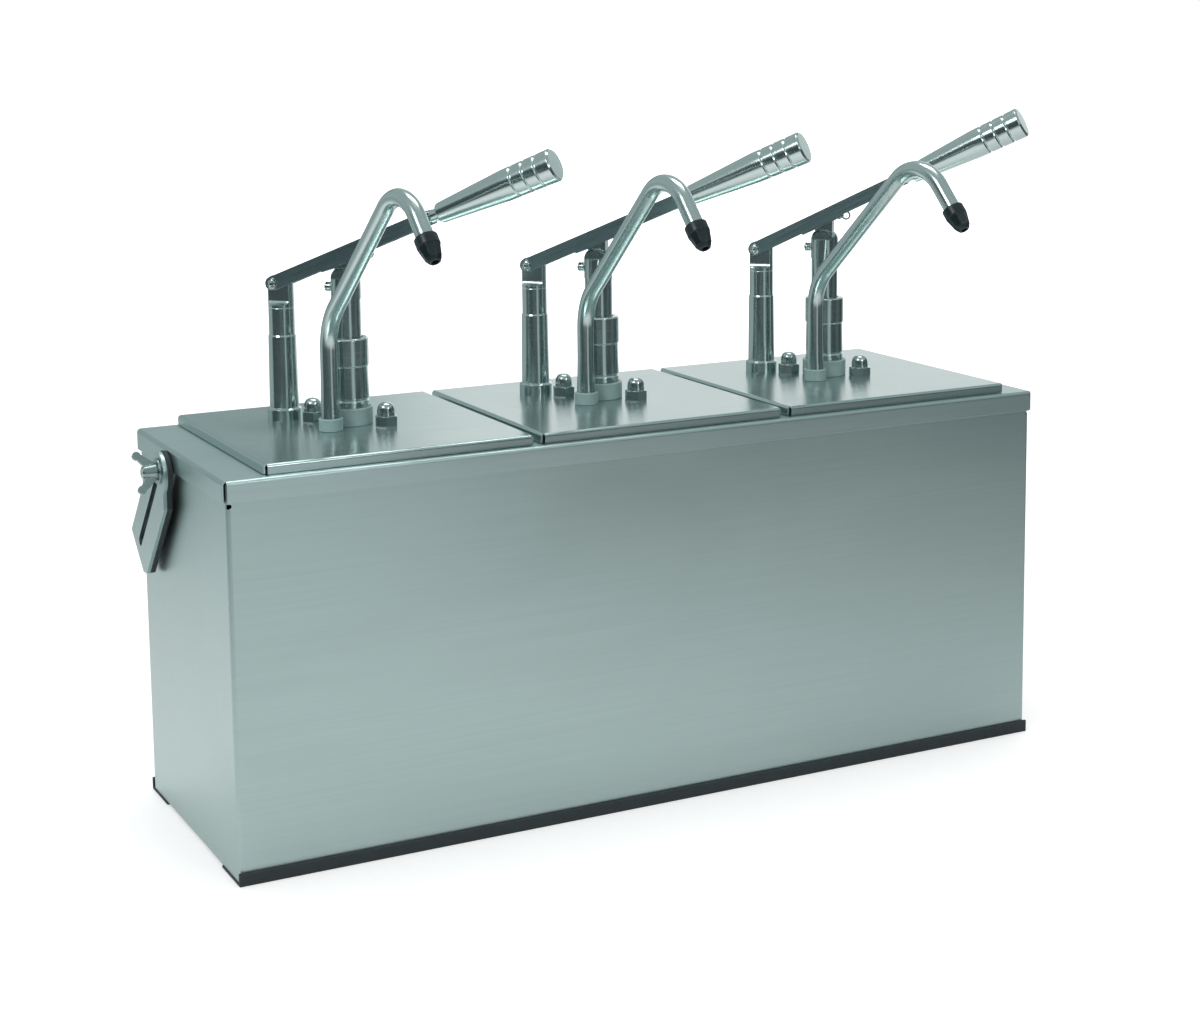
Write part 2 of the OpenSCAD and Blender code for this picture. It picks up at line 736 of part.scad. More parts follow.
// Return spring: one wire wound at a steady rate between the ledge and the piston tube
function coil_point(a, r, len, k) =
    let (c = cos(a * 360), s = sin(a * 360), t = k * 360 / SPRING_SIDES,
         rr = r + spring_wire_d / 2 * cos(t))
    [rr * c, rr * s, len * a / SPRING_TURNS + spring_wire_d / 2 * sin(t)];

module spring(i) {
    tube_low = link_z(lever_rest[i]) - tube_len;
    low = ledge_z - lid_top + spring_wire_d / 2 + seat_gap;
    len = tube_low - spring_wire_d / 2 - seat_gap - low;
    n = SPRING_TURNS * SPRING_STEPS;
    points = [for (j = [0 : n], k = [0 : SPRING_SIDES - 1])
        coil_point(j / SPRING_STEPS, spring_d / 2, len, k)];
    sides = [for (j = [0 : n - 1], k = [0 : SPRING_SIDES - 1])
        let (m = (k + 1) % SPRING_SIDES, a = j * SPRING_SIDES, b = a + SPRING_SIDES)
        each [[a + k, b + k, b + m], [a + k, b + m, a + m]]];
    caps = [for (k = [1 : SPRING_SIDES - 2])
        each [[0, k, k + 1],
              [n * SPRING_SIDES, n * SPRING_SIDES + k + 1, n * SPRING_SIDES + k]]];
    color("#b8c4c3") at_pump(i) translate([0, 0, low])
        polyhedron(points = points, faces = concat(sides, caps));
}

// Spout: an upright riser, a lower bend, a sloping run, the top bend and a short straight end
module seam(d) {
    translate([0, 0, -seam_len / 2]) cylinder(d = d + 2 * seam_out, h = seam_len);
}

module straight(d, len) {
    cylinder(d = d, h = len);
    translate([0, 0, len]) {
        seam(d);
        children();
    }
}

module bend(d, r, a) {
    translate([r, 0, 0]) rotate([90, 0, 0]) rotate([0, 0, 180 - a])
        rotate_extrude(angle = a) translate([r, 0]) circle(d = d);
    translate([r * (1 - cos(a)), 0, r * sin(a)]) rotate([0, a, 0]) {
        seam(d);
        children();
    }
}

module spout_path(i, d, low, over) {
    translate([0, 0, low - over]) straight(d, spout_rise - low + over)
        bend(d, bend_low_r, bend_low_a)
            straight(d, spout_run)
                bend(d, bend_top_r, bend_top_a) cylinder(d = d, h = spout_drop[i] + over);
}

module spout(i) {
    low = arm_z + arm_h - riser_in - lid_top + seat_gap;
    foot = spout_ring_h + seat_gap;
    color("#c3cfce") at_pump(i) at_spout(i) difference() {
        union() {
            spout_path(i, spout_d, low, 0);
            translate([0, 0, foot])
                cylinder(d1 = spout_d + 2 * flare_out, d2 = spout_d, h = flare_len);
        }
        spout_path(i, spout_bore_d, low, cut);
    }
}

module nozzle(i) {
    sleeve_d = spout_d + 2 * nozzle_wall;
    end = spout_end(i);
    color("#20292a") at_pump(i) at_spout(i)
        translate([end[0], 0, end[1]]) rotate([0, bend_all_a, 0]) difference() {
            union() {
                translate([0, 0, -nozzle_over]) cylinder(d = sleeve_d, h = nozzle_sleeve);
                translate([0, 0, nozzle_sleeve - nozzle_over])
                    cylinder(d1 = sleeve_d, d2 = nozzle_tip_d, h = nozzle_cone, $fn = NOZZLE_SIDES);
            }
            translate([0, 0, -nozzle_over - cut])
                cylinder(d = spout_d + 2 * seat_gap, h = nozzle_over + cut + seat_gap);
            cylinder(d = nozzle_bore_d, h = nozzle_sleeve + nozzle_cone);
        }
}

// Clamps: a slotted plate with a rubber pad, held on a wall stud by a washer and a wing nut.
// Local frame: +X down the slot from the stud, +Z towards the housing
module on_side(side) {
    mirror([side == LEFT ? 0 : 1, 0, 0]) translate([0, clamp_y, clamp_z]) children();
}

module along_slot(side, x) {
    on_side(side) translate([-x, 0, 0]) rotate([-clamp_tilt, 0, 0]) rotate([90, 0, 90])
        children();
}

module on_stud(side, x) {
    on_side(side) translate([-x, 0, 0]) rotate([0, -90, 0]) children();
}

module clamp_sheet(t) {
    low = clamp_side - clamp_w;
    nose = clamp_nose_r - clamp_top;
    tuck = clamp_nose_r - clamp_tuck;
    slot_run = clamp_len - slot_end;
    difference() {
        union() {
            translate([nose, 0, 0]) cylinder(r = clamp_nose_r, h = t);
            linear_extrude(t) polygon([
                [nose, tuck], [clamp_shoulder, clamp_side], [clamp_len, clamp_side],
                [clamp_len, low + clamp_corner], [clamp_len - clamp_corner, low],
                [clamp_neck, low], [nose, -tuck]
            ]);
        }
        translate([0, 0, -cut]) {
            for (x = [0, slot_run])
                translate([x, 0, 0]) cylinder(d = slot_w, h = t + 2 * cut);
            translate([0, -slot_w / 2, 0]) cube([slot_run, slot_w, t + 2 * cut]);
        }
    }
}

module clamp_plate(side) {
    color("#a4b4b3") along_slot(side, outer_x) clamp_sheet(clamp_t);
}

module clamp_pad(side) {
    color("#1d2526") along_slot(side, plate_x) clamp_sheet(clamp_pad_t);
}

module clamp_studs() {
    wall = body_w / 2;
    tip = outer_x + clamp_stud_out;
    color("#b3c0bf") for (side = [LEFT, RIGHT])
        on_stud(side, wall) {
            cylinder(d = clamp_stud_d, h = tip - wall);
            translate([0, 0, -sheet_t - stud_foot_t]) cylinder(d = stud_foot_d, h = stud_foot_t);
        }
}

module washer(side) {
    color("#8c9d9d") on_stud(side, outer_x + seat_gap)
        ring(washer_d, clamp_stud_d + 2 * run_gap, washer_t);
}

module wing_nut(side) {
    turn_a = wing_turn[side == LEFT ? 0 : 1];
    color("#aebbba") on_stud(side, outer_x + washer_t + 2 * seat_gap) rotate([0, 0, turn_a])
        difference() {
            union() {
                cylinder(d1 = wing_hub_d, d2 = wing_hub_top_d, h = wing_hub_h);
                translate([0, wing_t / 2, 0]) rotate([90, 0, 0]) linear_extrude(wing_t)
                    difference() {
                        union() {
                            for (s = [-1, 1])
                                translate([s * (wing_span / 2 - wing_r), wing_h - wing_r])
                                    circle(wing_r);
                            polygon([
                                [-wing_hub_d / 2, 0], [wing_hub_d / 2, 0],
                                [wing_span / 2, wing_h - wing_r],
                                [wing_span / 2 - 2 * wing_r, wing_h - wing_r],
                                [0, wing_hub_h / 2],
                                [2 * wing_r - wing_span / 2, wing_h - wing_r],
                                [-wing_span / 2, wing_h - wing_r]
                            ]);
                        }
                        translate([-clamp_stud_d / 2, -cut])
                            square([clamp_stud_d, wing_h + cut]);
                    }
            }
            translate([0, 0, -cut])
                cylinder(d = clamp_stud_d + 2 * pin_gap, h = wing_hub_h + 2 * cut);
        }
}

housing();
rim_frame();
foot_strips();
clamp_studs();
pan(LEFT);  // left_pan
pan(MIDDLE);  // middle_pan
pan(RIGHT);  // right_pan
lid(LEFT);  // left_lid
lid(MIDDLE);  // middle_lid
lid(RIGHT);  // right_lid
post(LEFT);  // left_post
post(MIDDLE);  // middle_post
post(RIGHT);  // right_post
fulcrum_pin(LEFT);  // left_fulcrum_pin
fulcrum_pin(MIDDLE);  // middle_fulcrum_pin
fulcrum_pin(RIGHT);  // right_fulcrum_pin
pump_head(LEFT);  // left_pump_head
pump_head(MIDDLE);  // middle_pump_head
pump_head(RIGHT);  // right_pump_head
lid_rings(LEFT);  // left_lid_rings
lid_rings(MIDDLE);  // middle_lid_rings
lid_rings(RIGHT);  // right_lid_rings
spout(LEFT);  // left_spout
spout(MIDDLE);  // middle_spout
spout(RIGHT);  // right_spout
nozzle(LEFT);  // left_nozzle
nozzle(MIDDLE);  // middle_nozzle
nozzle(RIGHT);  // right_nozzle
cap_nuts(LEFT);  // left_cap_nuts
cap_nuts(MIDDLE);  // middle_cap_nuts
cap_nuts(RIGHT);  // right_cap_nuts
barrel(LEFT);  // left_barrel
barrel(MIDDLE);  // middle_barrel
barrel(RIGHT);  // right_barrel
spring(LEFT);  // left_spring
spring(MIDDLE);  // middle_spring
spring(RIGHT);  // right_spring
lever(LEFT);  // left_lever
lever(MIDDLE);  // middle_lever
lever(RIGHT);  // right_lever
handle(LEFT);  // left_handle
handle(MIDDLE);  // middle_handle
handle(RIGHT);  // right_handle
saddle(LEFT);  // left_saddle
saddle(MIDDLE);  // middle_saddle
saddle(RIGHT);  // right_saddle
piston(LEFT);  // left_piston
piston(MIDDLE);  // middle_piston
piston(RIGHT);  // right_piston
lock_screw(LEFT);  // left_lock_screw
lock_screw(MIDDLE);  // middle_lock_screw
lock_screw(RIGHT);  // right_lock_screw
clamp_plate(LEFT);  // left_clamp_plate
clamp_plate(RIGHT);  // right_clamp_plate
clamp_pad(LEFT);  // left_clamp_pad
clamp_pad(RIGHT);  // right_clamp_pad
washer(LEFT);  // left_washer
washer(RIGHT);  // right_washer
wing_nut(LEFT);  // left_wing_nut
wing_nut(RIGHT);  // right_wing_nut
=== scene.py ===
import json
import math

import bmesh
import bpy
from bpy.props import FloatProperty, FloatVectorProperty, IntProperty, PointerProperty
from mathutils import Matrix, Vector


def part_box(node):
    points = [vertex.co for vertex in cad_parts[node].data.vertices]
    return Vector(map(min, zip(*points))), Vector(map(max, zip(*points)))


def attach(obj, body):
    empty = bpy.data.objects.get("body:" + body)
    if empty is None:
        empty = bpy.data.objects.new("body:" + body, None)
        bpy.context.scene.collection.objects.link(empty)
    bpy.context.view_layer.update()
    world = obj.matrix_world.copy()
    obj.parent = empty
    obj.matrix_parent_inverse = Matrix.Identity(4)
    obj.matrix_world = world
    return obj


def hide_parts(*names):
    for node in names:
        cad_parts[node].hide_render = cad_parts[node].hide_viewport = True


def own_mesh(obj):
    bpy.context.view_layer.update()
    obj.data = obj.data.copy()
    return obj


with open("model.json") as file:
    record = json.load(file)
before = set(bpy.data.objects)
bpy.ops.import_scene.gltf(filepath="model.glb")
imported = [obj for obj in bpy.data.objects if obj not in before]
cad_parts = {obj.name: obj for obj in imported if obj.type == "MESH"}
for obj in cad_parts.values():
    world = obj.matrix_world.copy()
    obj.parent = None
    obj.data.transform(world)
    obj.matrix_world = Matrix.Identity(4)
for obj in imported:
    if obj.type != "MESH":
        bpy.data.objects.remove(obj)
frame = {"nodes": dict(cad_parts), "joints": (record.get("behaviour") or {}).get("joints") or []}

for leftover in ("Cube", "Light", "Camera"):
    if leftover in bpy.data.objects:
        bpy.data.objects.remove(bpy.data.objects[leftover])
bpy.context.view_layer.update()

bl_info = {
    "name": "Sauce Station Looks",
    "version": (1, 0, 0),
    "blender": (4, 5, 0),
    "location": "3D View > Sidebar > Sauce Station",
    "description": "Models, finishes and stages a counter-top sauce station round its packed frame",
    "category": "Object",
}

MM = 0.001
SIDES = ("left", "middle", "right")
ENDS = ("left", "right")
JOINTS = {joint["name"]: joint for joint in frame["joints"]}
PHOTO_WIDTH = 1200
PHOTO_HEIGHT = 1022
DOUBLES = 1e-6
FLAT = math.radians(0.2)
SHARP = math.radians(40)
# Keeps a grain's direction off the axis of a face that looks straight along it
OFF_AXIS = Vector((0.011, 0.007, 0.003))


# Settings

def length(title, note, mm):
    """A length setting, given in millimetres and kept in metres."""
    return FloatProperty(name=title, description=note, default=mm * MM, min=0.0,
                         unit="LENGTH", subtype="DISTANCE", precision=5)


def angle(title, note, degrees):
    """An angle setting, given in degrees and kept in radians."""
    return FloatProperty(name=title, description=note, default=math.radians(degrees),
                         unit="ROTATION", subtype="ANGLE")


def share(title, note, value):
    """A setting between nought and one."""
    return FloatProperty(name=title, description=note, default=value, min=0.0, max=1.0,
                         subtype="FACTOR")


def tone(title, note, colour):
    """A colour setting."""
    return FloatVectorProperty(name=title, description=note, default=colour, min=0.0, max=1.0,
                               size=3, subtype="COLOR")


class StationSizes(bpy.types.PropertyGroup):
    """Lengths, angles and counts of the pieces that are modelled here."""

    turn_steps: IntProperty(name="Turning steps", description="Facets round a turned piece",
                            default=64, min=24, max=96)
    tube_sides: IntProperty(name="Tube sides", description="Facets round a spout tube",
                            default=40, min=16, max=64)
    soft_edge: length("Soft edge", "Rounding of turned and milled edges", 0.35)
    sheet_edge: length("Sheet edge", "Rounding of cut sheet edges", 0.25)
    rim_edge: length("Rim edge", "Rounding of the rim frame's edges", 0.4)
    rubber_edge: length("Rubber edge", "Rounding of the rubber pieces", 0.6)

    post_d: length("Post", "Diameter of a post above its collar", 18.4)
    post_neck_d: length("Post neck", "Diameter of the stepped neck", 16.4)
    collar_d: length("Post collar", "Diameter of the collar", 21.6)
    collar_h: length("Collar height", "Height of the collar", 8.1)
    spigot_d: length("Post spigot", "Diameter of the spigot through the lid", 10.0)
    spigot_len: length("Spigot length", "Length of the spigot below the lid's top", 7.0)
    step_below: length("Step", "Post's step, below the fulcrum", 33.3)
    tongue_below: length("Tongue start", "Start of the tongue, below the fulcrum", 12.3)
    tongue_above: length("Tongue end", "End of the tongue, above the fulcrum", 4.7)
    tongue_t: length("Tongue", "Thickness of the tongue", 7.4)
    tongue_r: length("Tongue corner", "Radius of the tongue's upper corners", 3.0)
    tongue_back: length("Fulcrum offset", "Fulcrum behind the post's axis", 3.5)
    shoulder_fall: length("Shoulder", "Shoulder below the tongue's foot", 1.2)
    shoulder_r: length("Shoulder hollow", "Radius of the hollow at the tongue's foot", 3.6)
    seat_line: length("Seat line", "Fine groove under the tongue's shoulder", 0.25)

    pin_d: length("Fulcrum pin", "Diameter of the fulcrum pin", 4.8)
    pin_head_d: length("Rivet head", "Diameter of a rivet head", 7.4)
    pin_head_t: length("Rivet head height", "Height of a rivet head", 1.4)
    lever_w: length("Lever", "Width across the lever's cheeks", 11.0)
    lever_bar: length("Lever bar", "Length of the channel from the fulcrum", 116.6)
    lever_edge: length("Lever edge", "Rounding of the channel's edges", 0.45)
    lever_low: angle("Lowest lever", "Rise of a lever pushed right down", -8.0)

    handle_len: length("Handle", "Length of a handle", 82.4)
    handle_d: length("Handle end", "Diameter of the free end", 20.8)
    handle_gain: length("Handle taper", "What the last part still gains in diameter", 1.2)
    handle_small_d: length("Handle root", "Diameter of the small end", 13.0)
    handle_taper: share("Taper share", "Share of the handle that widens fast", 0.58)
    handle_round: length("Handle edge", "Rounding of the handle's ends", 1.2)
    handle_neck_d: length("Handle neck", "Diameter of the neck in the channel", 7.8)
    neck_out: length("Neck length", "Bare neck between channel and handle", 6.0)
    tang_len: length("Tang", "Length of the thin end inside the channel", 18.0)
    tang_d: length("Tang width", "Diameter of the thin end", 5.9)
    groove_w: length("Groove", "Width of a turned groove", 1.9)
    groove_deep: length("Groove depth", "Depth of a turned groove", 0.8)
    groove_first: length("First groove", "First groove from the free end", 10.0)
    groove_gap: length("Groove spacing", "Spacing of the grooves", 8.6)

    head_d: length("Pump head", "Diameter of the upper collar", 26.4)
    head_h: length("Pump head height", "Height of the pump head above the lid", 54.5)
    head_low_d: length("Pump head waist", "Diameter below the upper collar", 25.0)
    head_foot_d: length("Pump head foot", "Diameter of the foot", 25.8)
    head_bore_d: length("Pump head bore", "Bore for the piston", 18.2)
    head_collar_h: length("Upper collar", "Height of the upper collar", 18.0)
    head_groove_h: length("Pump head groove", "Height of the groove above the lid", 16.6)
    head_chamfer: length("Pump head edge", "Chamfer of the upper collar", 0.9)
    wiper_d: length("Wiper recess", "Diameter of the recess at the top", 19.3)
    wiper_deep: length("Wiper depth", "Depth of the recess at the top", 4.0)
    spigot_deep: length("Head spigot", "Length of the spigot in the barrel", 8.0)
    spigot_in_d: length("Head spigot width", "Diameter of the spigot in the barrel", 24.9)
    ring_wall: length("Pump ring", "Wall of the ring round the pump head", 1.95)
    ring_h: length("Pump ring height", "Height of the ring round the pump head", 11.0)
    spout_ring_wall: length("Spout ring", "Wall of the ring round the spout", 2.1)
    spout_ring_h: length("Spout ring height", "Height of the ring round the spout", 7.9)
    fit: length("Fit", "Clearance between pieces that are fixed together", 0.05)

    nut_gap: length("Nut spacing", "Distance of a cap nut from the pump", 25.4)
    nut_af: length("Nut", "Width across the flats", 13.0)
    nut_hex_h: length("Nut base", "Height of the hexagon", 6.4)
    nut_dome_d: length("Nut dome", "Diameter of the dome", 11.2)
    nut_h: length("Nut height", "Height of a cap nut", 14.5)
    nut_round: share("Nut shape", "Fullness of the dome, smaller is squarer", 0.72)

    spout_gap: length("Spout spacing", "Distance of the spout from the pump", 25.4)
    spout_d: length("Spout", "Outer diameter of the spout", 10.8)
    spout_rise: length("Spout rise", "Height of the upright part", 50.0)
    spout_run: length("Spout run", "Length of the sloping part", 95.0)
    spout_drops: FloatVectorProperty(name="Spout ends", size=3, unit="LENGTH",
                                     description="Length of each straight end", precision=5,
                                     default=[drop * MM for drop in (17.5, 21, 21)])
    bend_low_r: length("Lower bend", "Radius of the lower bend", 38.0)
    bend_top_r: length("Top bend", "Radius of the top bend", 26.0)
    bend_low: angle("Lower bend angle", "Angle of the lower bend", 46.0)
    bend_top: angle("Top bend angle", "Angle of the top bend", 94.0)
    spout_turns: FloatVectorProperty(name="Spout directions", size=3, unit="ROTATION",
                                     description="Direction of each spout in plan",
                                     default=[math.radians(turn) for turn in (84, 86, 81)])
    flare_out: length("Spout foot", "Spout thicker at the lid by this, all round", 0.6)
    flare_len: length("Spout foot height", "Height over which the foot thins", 22.0)
    nozzle_wall: length("Nozzle", "Wall of the nozzle's sleeve", 1.6)
    nozzle_sleeve: length("Nozzle sleeve", "Length of the sleeve", 6.5)
    nozzle_over: length("Nozzle overlap", "Length of the spout inside the sleeve", 3.0)
    nozzle_cone: length("Nozzle cone", "Length of the faceted cone", 10.5)
    nozzle_tip_d: length("Nozzle tip", "Diameter of the tip", 7.6)
    nozzle_bore_d: length("Nozzle bore", "Bore of the nozzle", 4.6)
    nozzle_sides: IntProperty(name="Nozzle sides", description="Facets of the cone",
                              default=8, min=5, max=12)

    spring_wire_d: length("Spring wire", "Diameter of the return spring's wire", 1.8)
    spring_turns: IntProperty(name="Spring turns", description="Turns of the return spring",
                              default=9, min=3, max=20)
    spring_steps: IntProperty(name="Spring steps", description="Steps in a turn of the spring",
                              default=24, min=12, max=48)
    spring_sides: IntProperty(name="Wire sides", description="Facets round the spring's wire",
                              default=10, min=6, max=24)


class StationLooks(bpy.types.PropertyGroup):
    """Colours and gloss of the finishes."""

    satin: tone("Satin steel", "Brushed housing, pans and clamps", (0.465, 0.585, 0.572))
    satin_rough: share("Satin roughness", "Roughness of the brushed housing", 0.34)
    rim: tone("Rim steel", "Brushed rim frame round the lids", (0.485, 0.605, 0.595))
    lid: tone("Lid steel", "Finely brushed lids", (0.515, 0.635, 0.62))
    lid_rough: share("Lid roughness", "Roughness of the lids", 0.22)
    polished: tone("Polished steel", "Posts, pump heads and pistons", (0.55, 0.645, 0.63))
    polished_rough: share("Polished roughness", "Roughness of the polished pieces", 0.15)
    drawn: tone("Drawn steel", "Spouts and handles", (0.57, 0.67, 0.655))
    drawn_rough: share("Drawn roughness", "Roughness of the spouts and handles", 0.17)
    bright: tone("Bright steel", "Nuts, washers and pins", (0.56, 0.64, 0.63))
    bright_rough: share("Bright roughness", "Roughness of nuts and pins", 0.12)
    cast: tone("Cast steel", "Wing nuts and washers", (0.31, 0.39, 0.385))
    cast_rough: share("Cast roughness", "Roughness of the wing nuts", 0.25)
    dark: tone("Dark steel", "Levers and saddles", (0.33, 0.45, 0.47))
    dark_rough: share("Dark roughness", "Roughness of the levers", 0.30)
    ring: tone("Milky plastic", "Rings on the lids", (0.255, 0.375, 0.365))
    ring_rough: share("Ring roughness", "Roughness of the rings", 0.38)
    nozzle: tone("Black plastic", "Nozzles", (0.004, 0.013, 0.0155))
    nozzle_rough: share("Nozzle roughness", "Roughness of the nozzles", 0.34)
    rubber: tone("Black rubber", "Foot strips and clamp pads", (0.016, 0.026, 0.029))
    rubber_rough: share("Rubber roughness", "Roughness of the rubber", 0.62)


class StationStage(bpy.types.PropertyGroup):
    """Floor, light and camera."""

    floor: tone("Floor", "Colour of the floor", (0.90, 0.90, 0.90))
    floor_lift: share("Floor lift", "What the camera sees the floor gain towards white", 0.28)
    sky: share("Room light", "Even light from all round", 0.78)
    dark_room: share("Dark room", "Level of the unlit room that polished steel mirrors", 0.080)
    cool: share("Cool shade", "How much red the room loses where it is dim", 0.27)
    table_r: FloatProperty(name="Table", description="Radius of the pale table round the object",
                           default=0.58, min=0.2, unit="LENGTH", subtype="DISTANCE")
    camera_place: FloatVectorProperty(name="Camera", description="Place of the camera",
                                      size=3, default=(-0.643, -1.176, 0.509),
                                      unit="LENGTH", subtype="TRANSLATION")
    camera_yaw: angle("Camera turn", "Turn of the view to the right", 26.98)
    camera_pitch: angle("Camera dip", "Dip of the view below level", 8.17)
    camera_roll: angle("Camera roll", "Roll of the view", -0.63)
    focal_pixels: FloatProperty(name="Focal length", description="Focal length in photo pixels",
                                default=2191.0, min=100.0)
    centre_row: FloatProperty(name="Centre row", description="Photo row of the view's axis",
                              default=311.0)


# Places, read from the frame

def lid_top():
    """Height of the lids' upper face."""
    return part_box("middle_lid")[1].z


def lever_turn(side):
    """Direction of a lever in plan, read from its hinge."""
    axis = JOINTS[side + "_lever_press"]["axis"]
    return math.atan2(axis[0], axis[1])


def lever_rise(side, sizes):
    """Rise of a lever at rest: its hinge's travel less the lowest rise."""
    return math.radians(JOINTS[side + "_lever_press"]["range_deg"][1]) + sizes.lever_low


def pump_frame(side):
    """The pump's own frame: origin on the lid at the piston's axis, +X along the lever."""
    low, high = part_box(side + "_pump_head")
    middle = (low + high) / 2
    place = Matrix.Translation((middle.x, middle.y, lid_top()))
    return place @ Matrix.Rotation(-lever_turn(side), 4, "Z")


def fulcrum_frame(side):
    """The fulcrum's frame: +X level along the lever, +Y along the pin."""
    pivot = Vector(JOINTS[side + "_lever_press"]["pos_m"])
    return Matrix.Translation(pivot) @ Matrix.Rotation(-lever_turn(side), 4, "Z")


def lever_frame(side, sizes):
    """The lever's own frame: origin at the fulcrum, +X along the lever at rest."""
    return fulcrum_frame(side) @ Matrix.Rotation(-lever_rise(side, sizes), 4, "Y")


def post_frame(side, sizes):
    """Foot of the post on the lid, turned as the pump is."""
    foot = fulcrum_frame(side) @ Vector((sizes.tongue_back, 0, 0))
    place = Matrix.Translation((foot.x, foot.y, lid_top()))
    return place @ Matrix.Rotation(-lever_turn(side), 4, "Z")


def spout_frame(side, sizes):
    """Foot of the spout on the lid, +X the way it reaches."""
    turn = lever_turn(side) - sizes.spout_turns[SIDES.index(side)]
    step = Matrix.Translation((0, -sizes.spout_gap, 0))
    return pump_frame(side) @ step @ Matrix.Rotation(turn, 4, "Z")


# Mesh helpers

def turn(bm, profile, steps):
    """Spins a profile of (radius, height) points round the Z axis."""
    verts = [bm.verts.new((r, 0, z)) for r, z in profile]
    edges = [bm.edges.new(pair) for pair in zip(verts, verts[1:])]
    bmesh.ops.spin(bm, geom=verts + edges, cent=(0, 0, 0), axis=(0, 0, 1), angle=math.tau,
                   steps=steps, use_merge=True, use_normal_flip=False, use_duplicate=False)
    close_up(bm)


def close_up(bm):
    """Merges doubles and turns every face outwards."""
    bmesh.ops.remove_doubles(bm, verts=bm.verts, dist=DOUBLES)
    bmesh.ops.recalc_face_normals(bm, faces=bm.faces)


def only_edges(items):
    """The edges among what an operator gives back."""
    return [item for item in items if isinstance(item, bmesh.types.BMEdge)]


def slice_off(bm, point, normal):
    """Cuts away what lies beyond a plane and closes the cut."""
    cut = bmesh.ops.bisect_plane(bm, geom=bm.verts[:] + bm.edges[:] + bm.faces[:],
                                 plane_co=point, plane_no=normal, clear_outer=True)
    bmesh.ops.contextual_create(bm, geom=only_edges(cut["geom_cut"]))


def join(bm, part):
    """Adds a part's mesh to a piece and lets the part go."""
    spare = bpy.data.meshes.new("spare")
    part.to_mesh(spare)
    part.free()
    bm.from_mesh(spare)
    bpy.data.meshes.remove(spare)


def soften(bm, width, segments=2, least=30):
    """Rounds the edges sharper than the least angle, and marks the rounded faces for edge wear and
    painted sheen.
    """
    worn = bm.faces.layers.float.get("worn") or bm.faces.layers.float.new("worn")
    sharp = [edge for edge in bm.edges
             if edge.is_manifold and edge.calc_face_angle(0.0) > math.radians(least)]
    made = bmesh.ops.bevel(bm, geom=sharp, offset=width, offset_type="OFFSET", affect="EDGES",
                           segments=segments, profile=0.5, clamp_overlap=True, material=-1)
    for face in made["faces"]:
        face[worn] = 1.0


def finish_piece(bm, name, body, slot, place=None, replaces=(), look=None):
    """Makes the object: smooth shading, own coordinates for the grain, place in the mesh."""
    mesh = bpy.data.meshes.new(name)
    bm.to_mesh(mesh)
    bm.free()
    mesh.polygons.foreach_set("use_smooth", [True] * len(mesh.polygons))
    mesh.set_sharp_from_angle(angle=SHARP)
    own = mesh.attributes.new("own_place", "FLOAT_VECTOR", "POINT")
    own.data.foreach_set("vector", [value for vert in mesh.vertices for value in vert.co])
    place = place or Matrix.Identity(4)
    along = mesh.attributes.get("along")
    if along is None:
        along = mesh.attributes.new("along", "FLOAT_VECTOR", "POINT")
        along.data.foreach_set("vector", [0.0, 0.0, 1.0] * len(mesh.vertices))
    for item in along.data:
        item.vector = place.to_3x3() @ item.vector + OFF_AXIS
    mesh.transform(place)
    piece = bpy.data.objects.new(name, mesh)
    bpy.context.scene.collection.objects.link(piece)
    level = piece.modifiers.new("Even normals", "WEIGHTED_NORMAL")
    level.keep_sharp = True
    level.weight = 80
    mesh.materials.append(finish(look or slot))
    if replaces:
        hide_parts(*replaces)
    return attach(piece, body)


def copy_of(node):
    """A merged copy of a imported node's mesh, with its flat faces joined."""
    bm = bmesh.new()
    bm.from_mesh(frame["nodes"][node].data)
    bmesh.ops.remove_doubles(bm, verts=bm.verts, dist=2 * DOUBLES)
    bmesh.ops.dissolve_limit(bm, angle_limit=FLAT, verts=bm.verts, edges=bm.edges,
                             use_dissolve_boundaries=False, delimit=set())
    return bm


def rounded_copy(node, name, body, slot, edge, least=30, segments=2, own=None, look=None):
    """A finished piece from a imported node, its edges rounded and its grain in its own frame."""
    bm = copy_of(node)
    if own:
        bm.transform(own.inverted())
    soften(bm, edge, segments, least)
    return finish_piece(bm, name, body, slot, own, [node], look)


def dress(node, slot):
    """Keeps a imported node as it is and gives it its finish."""
    piece = frame["nodes"][node]
    piece.data.materials.clear()
    piece.data.materials.append(finish(slot))


def settings():
    """The three groups of settings kept on the scene."""
    scene = bpy.context.scene
    return scene.station_sizes, scene.station_looks, scene.station_stage


# Shader helpers

def feed(tree, node, inputs):
    """Sets or links a node's inputs."""
    for key, value in inputs.items():
        if isinstance(value, bpy.types.NodeSocket):
            tree.links.new(value, node.inputs[key])
        else:
            node.inputs[key].default_value = value


def put(tree, kind, inputs=None, **options):
    """Adds a node, sets its options, and sets or links its inputs."""
    node = tree.nodes.new(kind)
    for key, value in options.items():
        setattr(node, key, value)
    feed(tree, node, inputs or {})
    return node


def calc(tree, operation, first, second=0.0, clamp=False):
    """The result of one sum."""
    return put(tree, "ShaderNodeMath", {0: first, 1: second}, operation=operation,
               use_clamp=clamp).outputs[0]


def vector(tree, operation, first, second=(0.0, 0.0, 0.0)):
    """The result of one sum on vectors, which may be a single value."""
    node = put(tree, "ShaderNodeVectorMath", {0: first, 1: second}, operation=operation)
    single = operation in ("DOT_PRODUCT", "LENGTH", "DISTANCE")
    return node.outputs["Value" if single else "Vector"]


def ramp(tree, value, low, high, start=0.0, end=1.0):
    """Value carried smoothly from one range to another."""
    return put(tree, "ShaderNodeMapRange", {"Value": value, "From Min": low, "From Max": high,
                                            "To Min": start, "To Max": end},
               interpolation_type="SMOOTHSTEP").outputs["Result"]


def weigh(tree, first, weight, second):
    """Two values mixed by the first one's weight."""
    return calc(tree, "ADD", calc(tree, "MULTIPLY", first, weight),
                calc(tree, "MULTIPLY", second, 1.0 - weight))


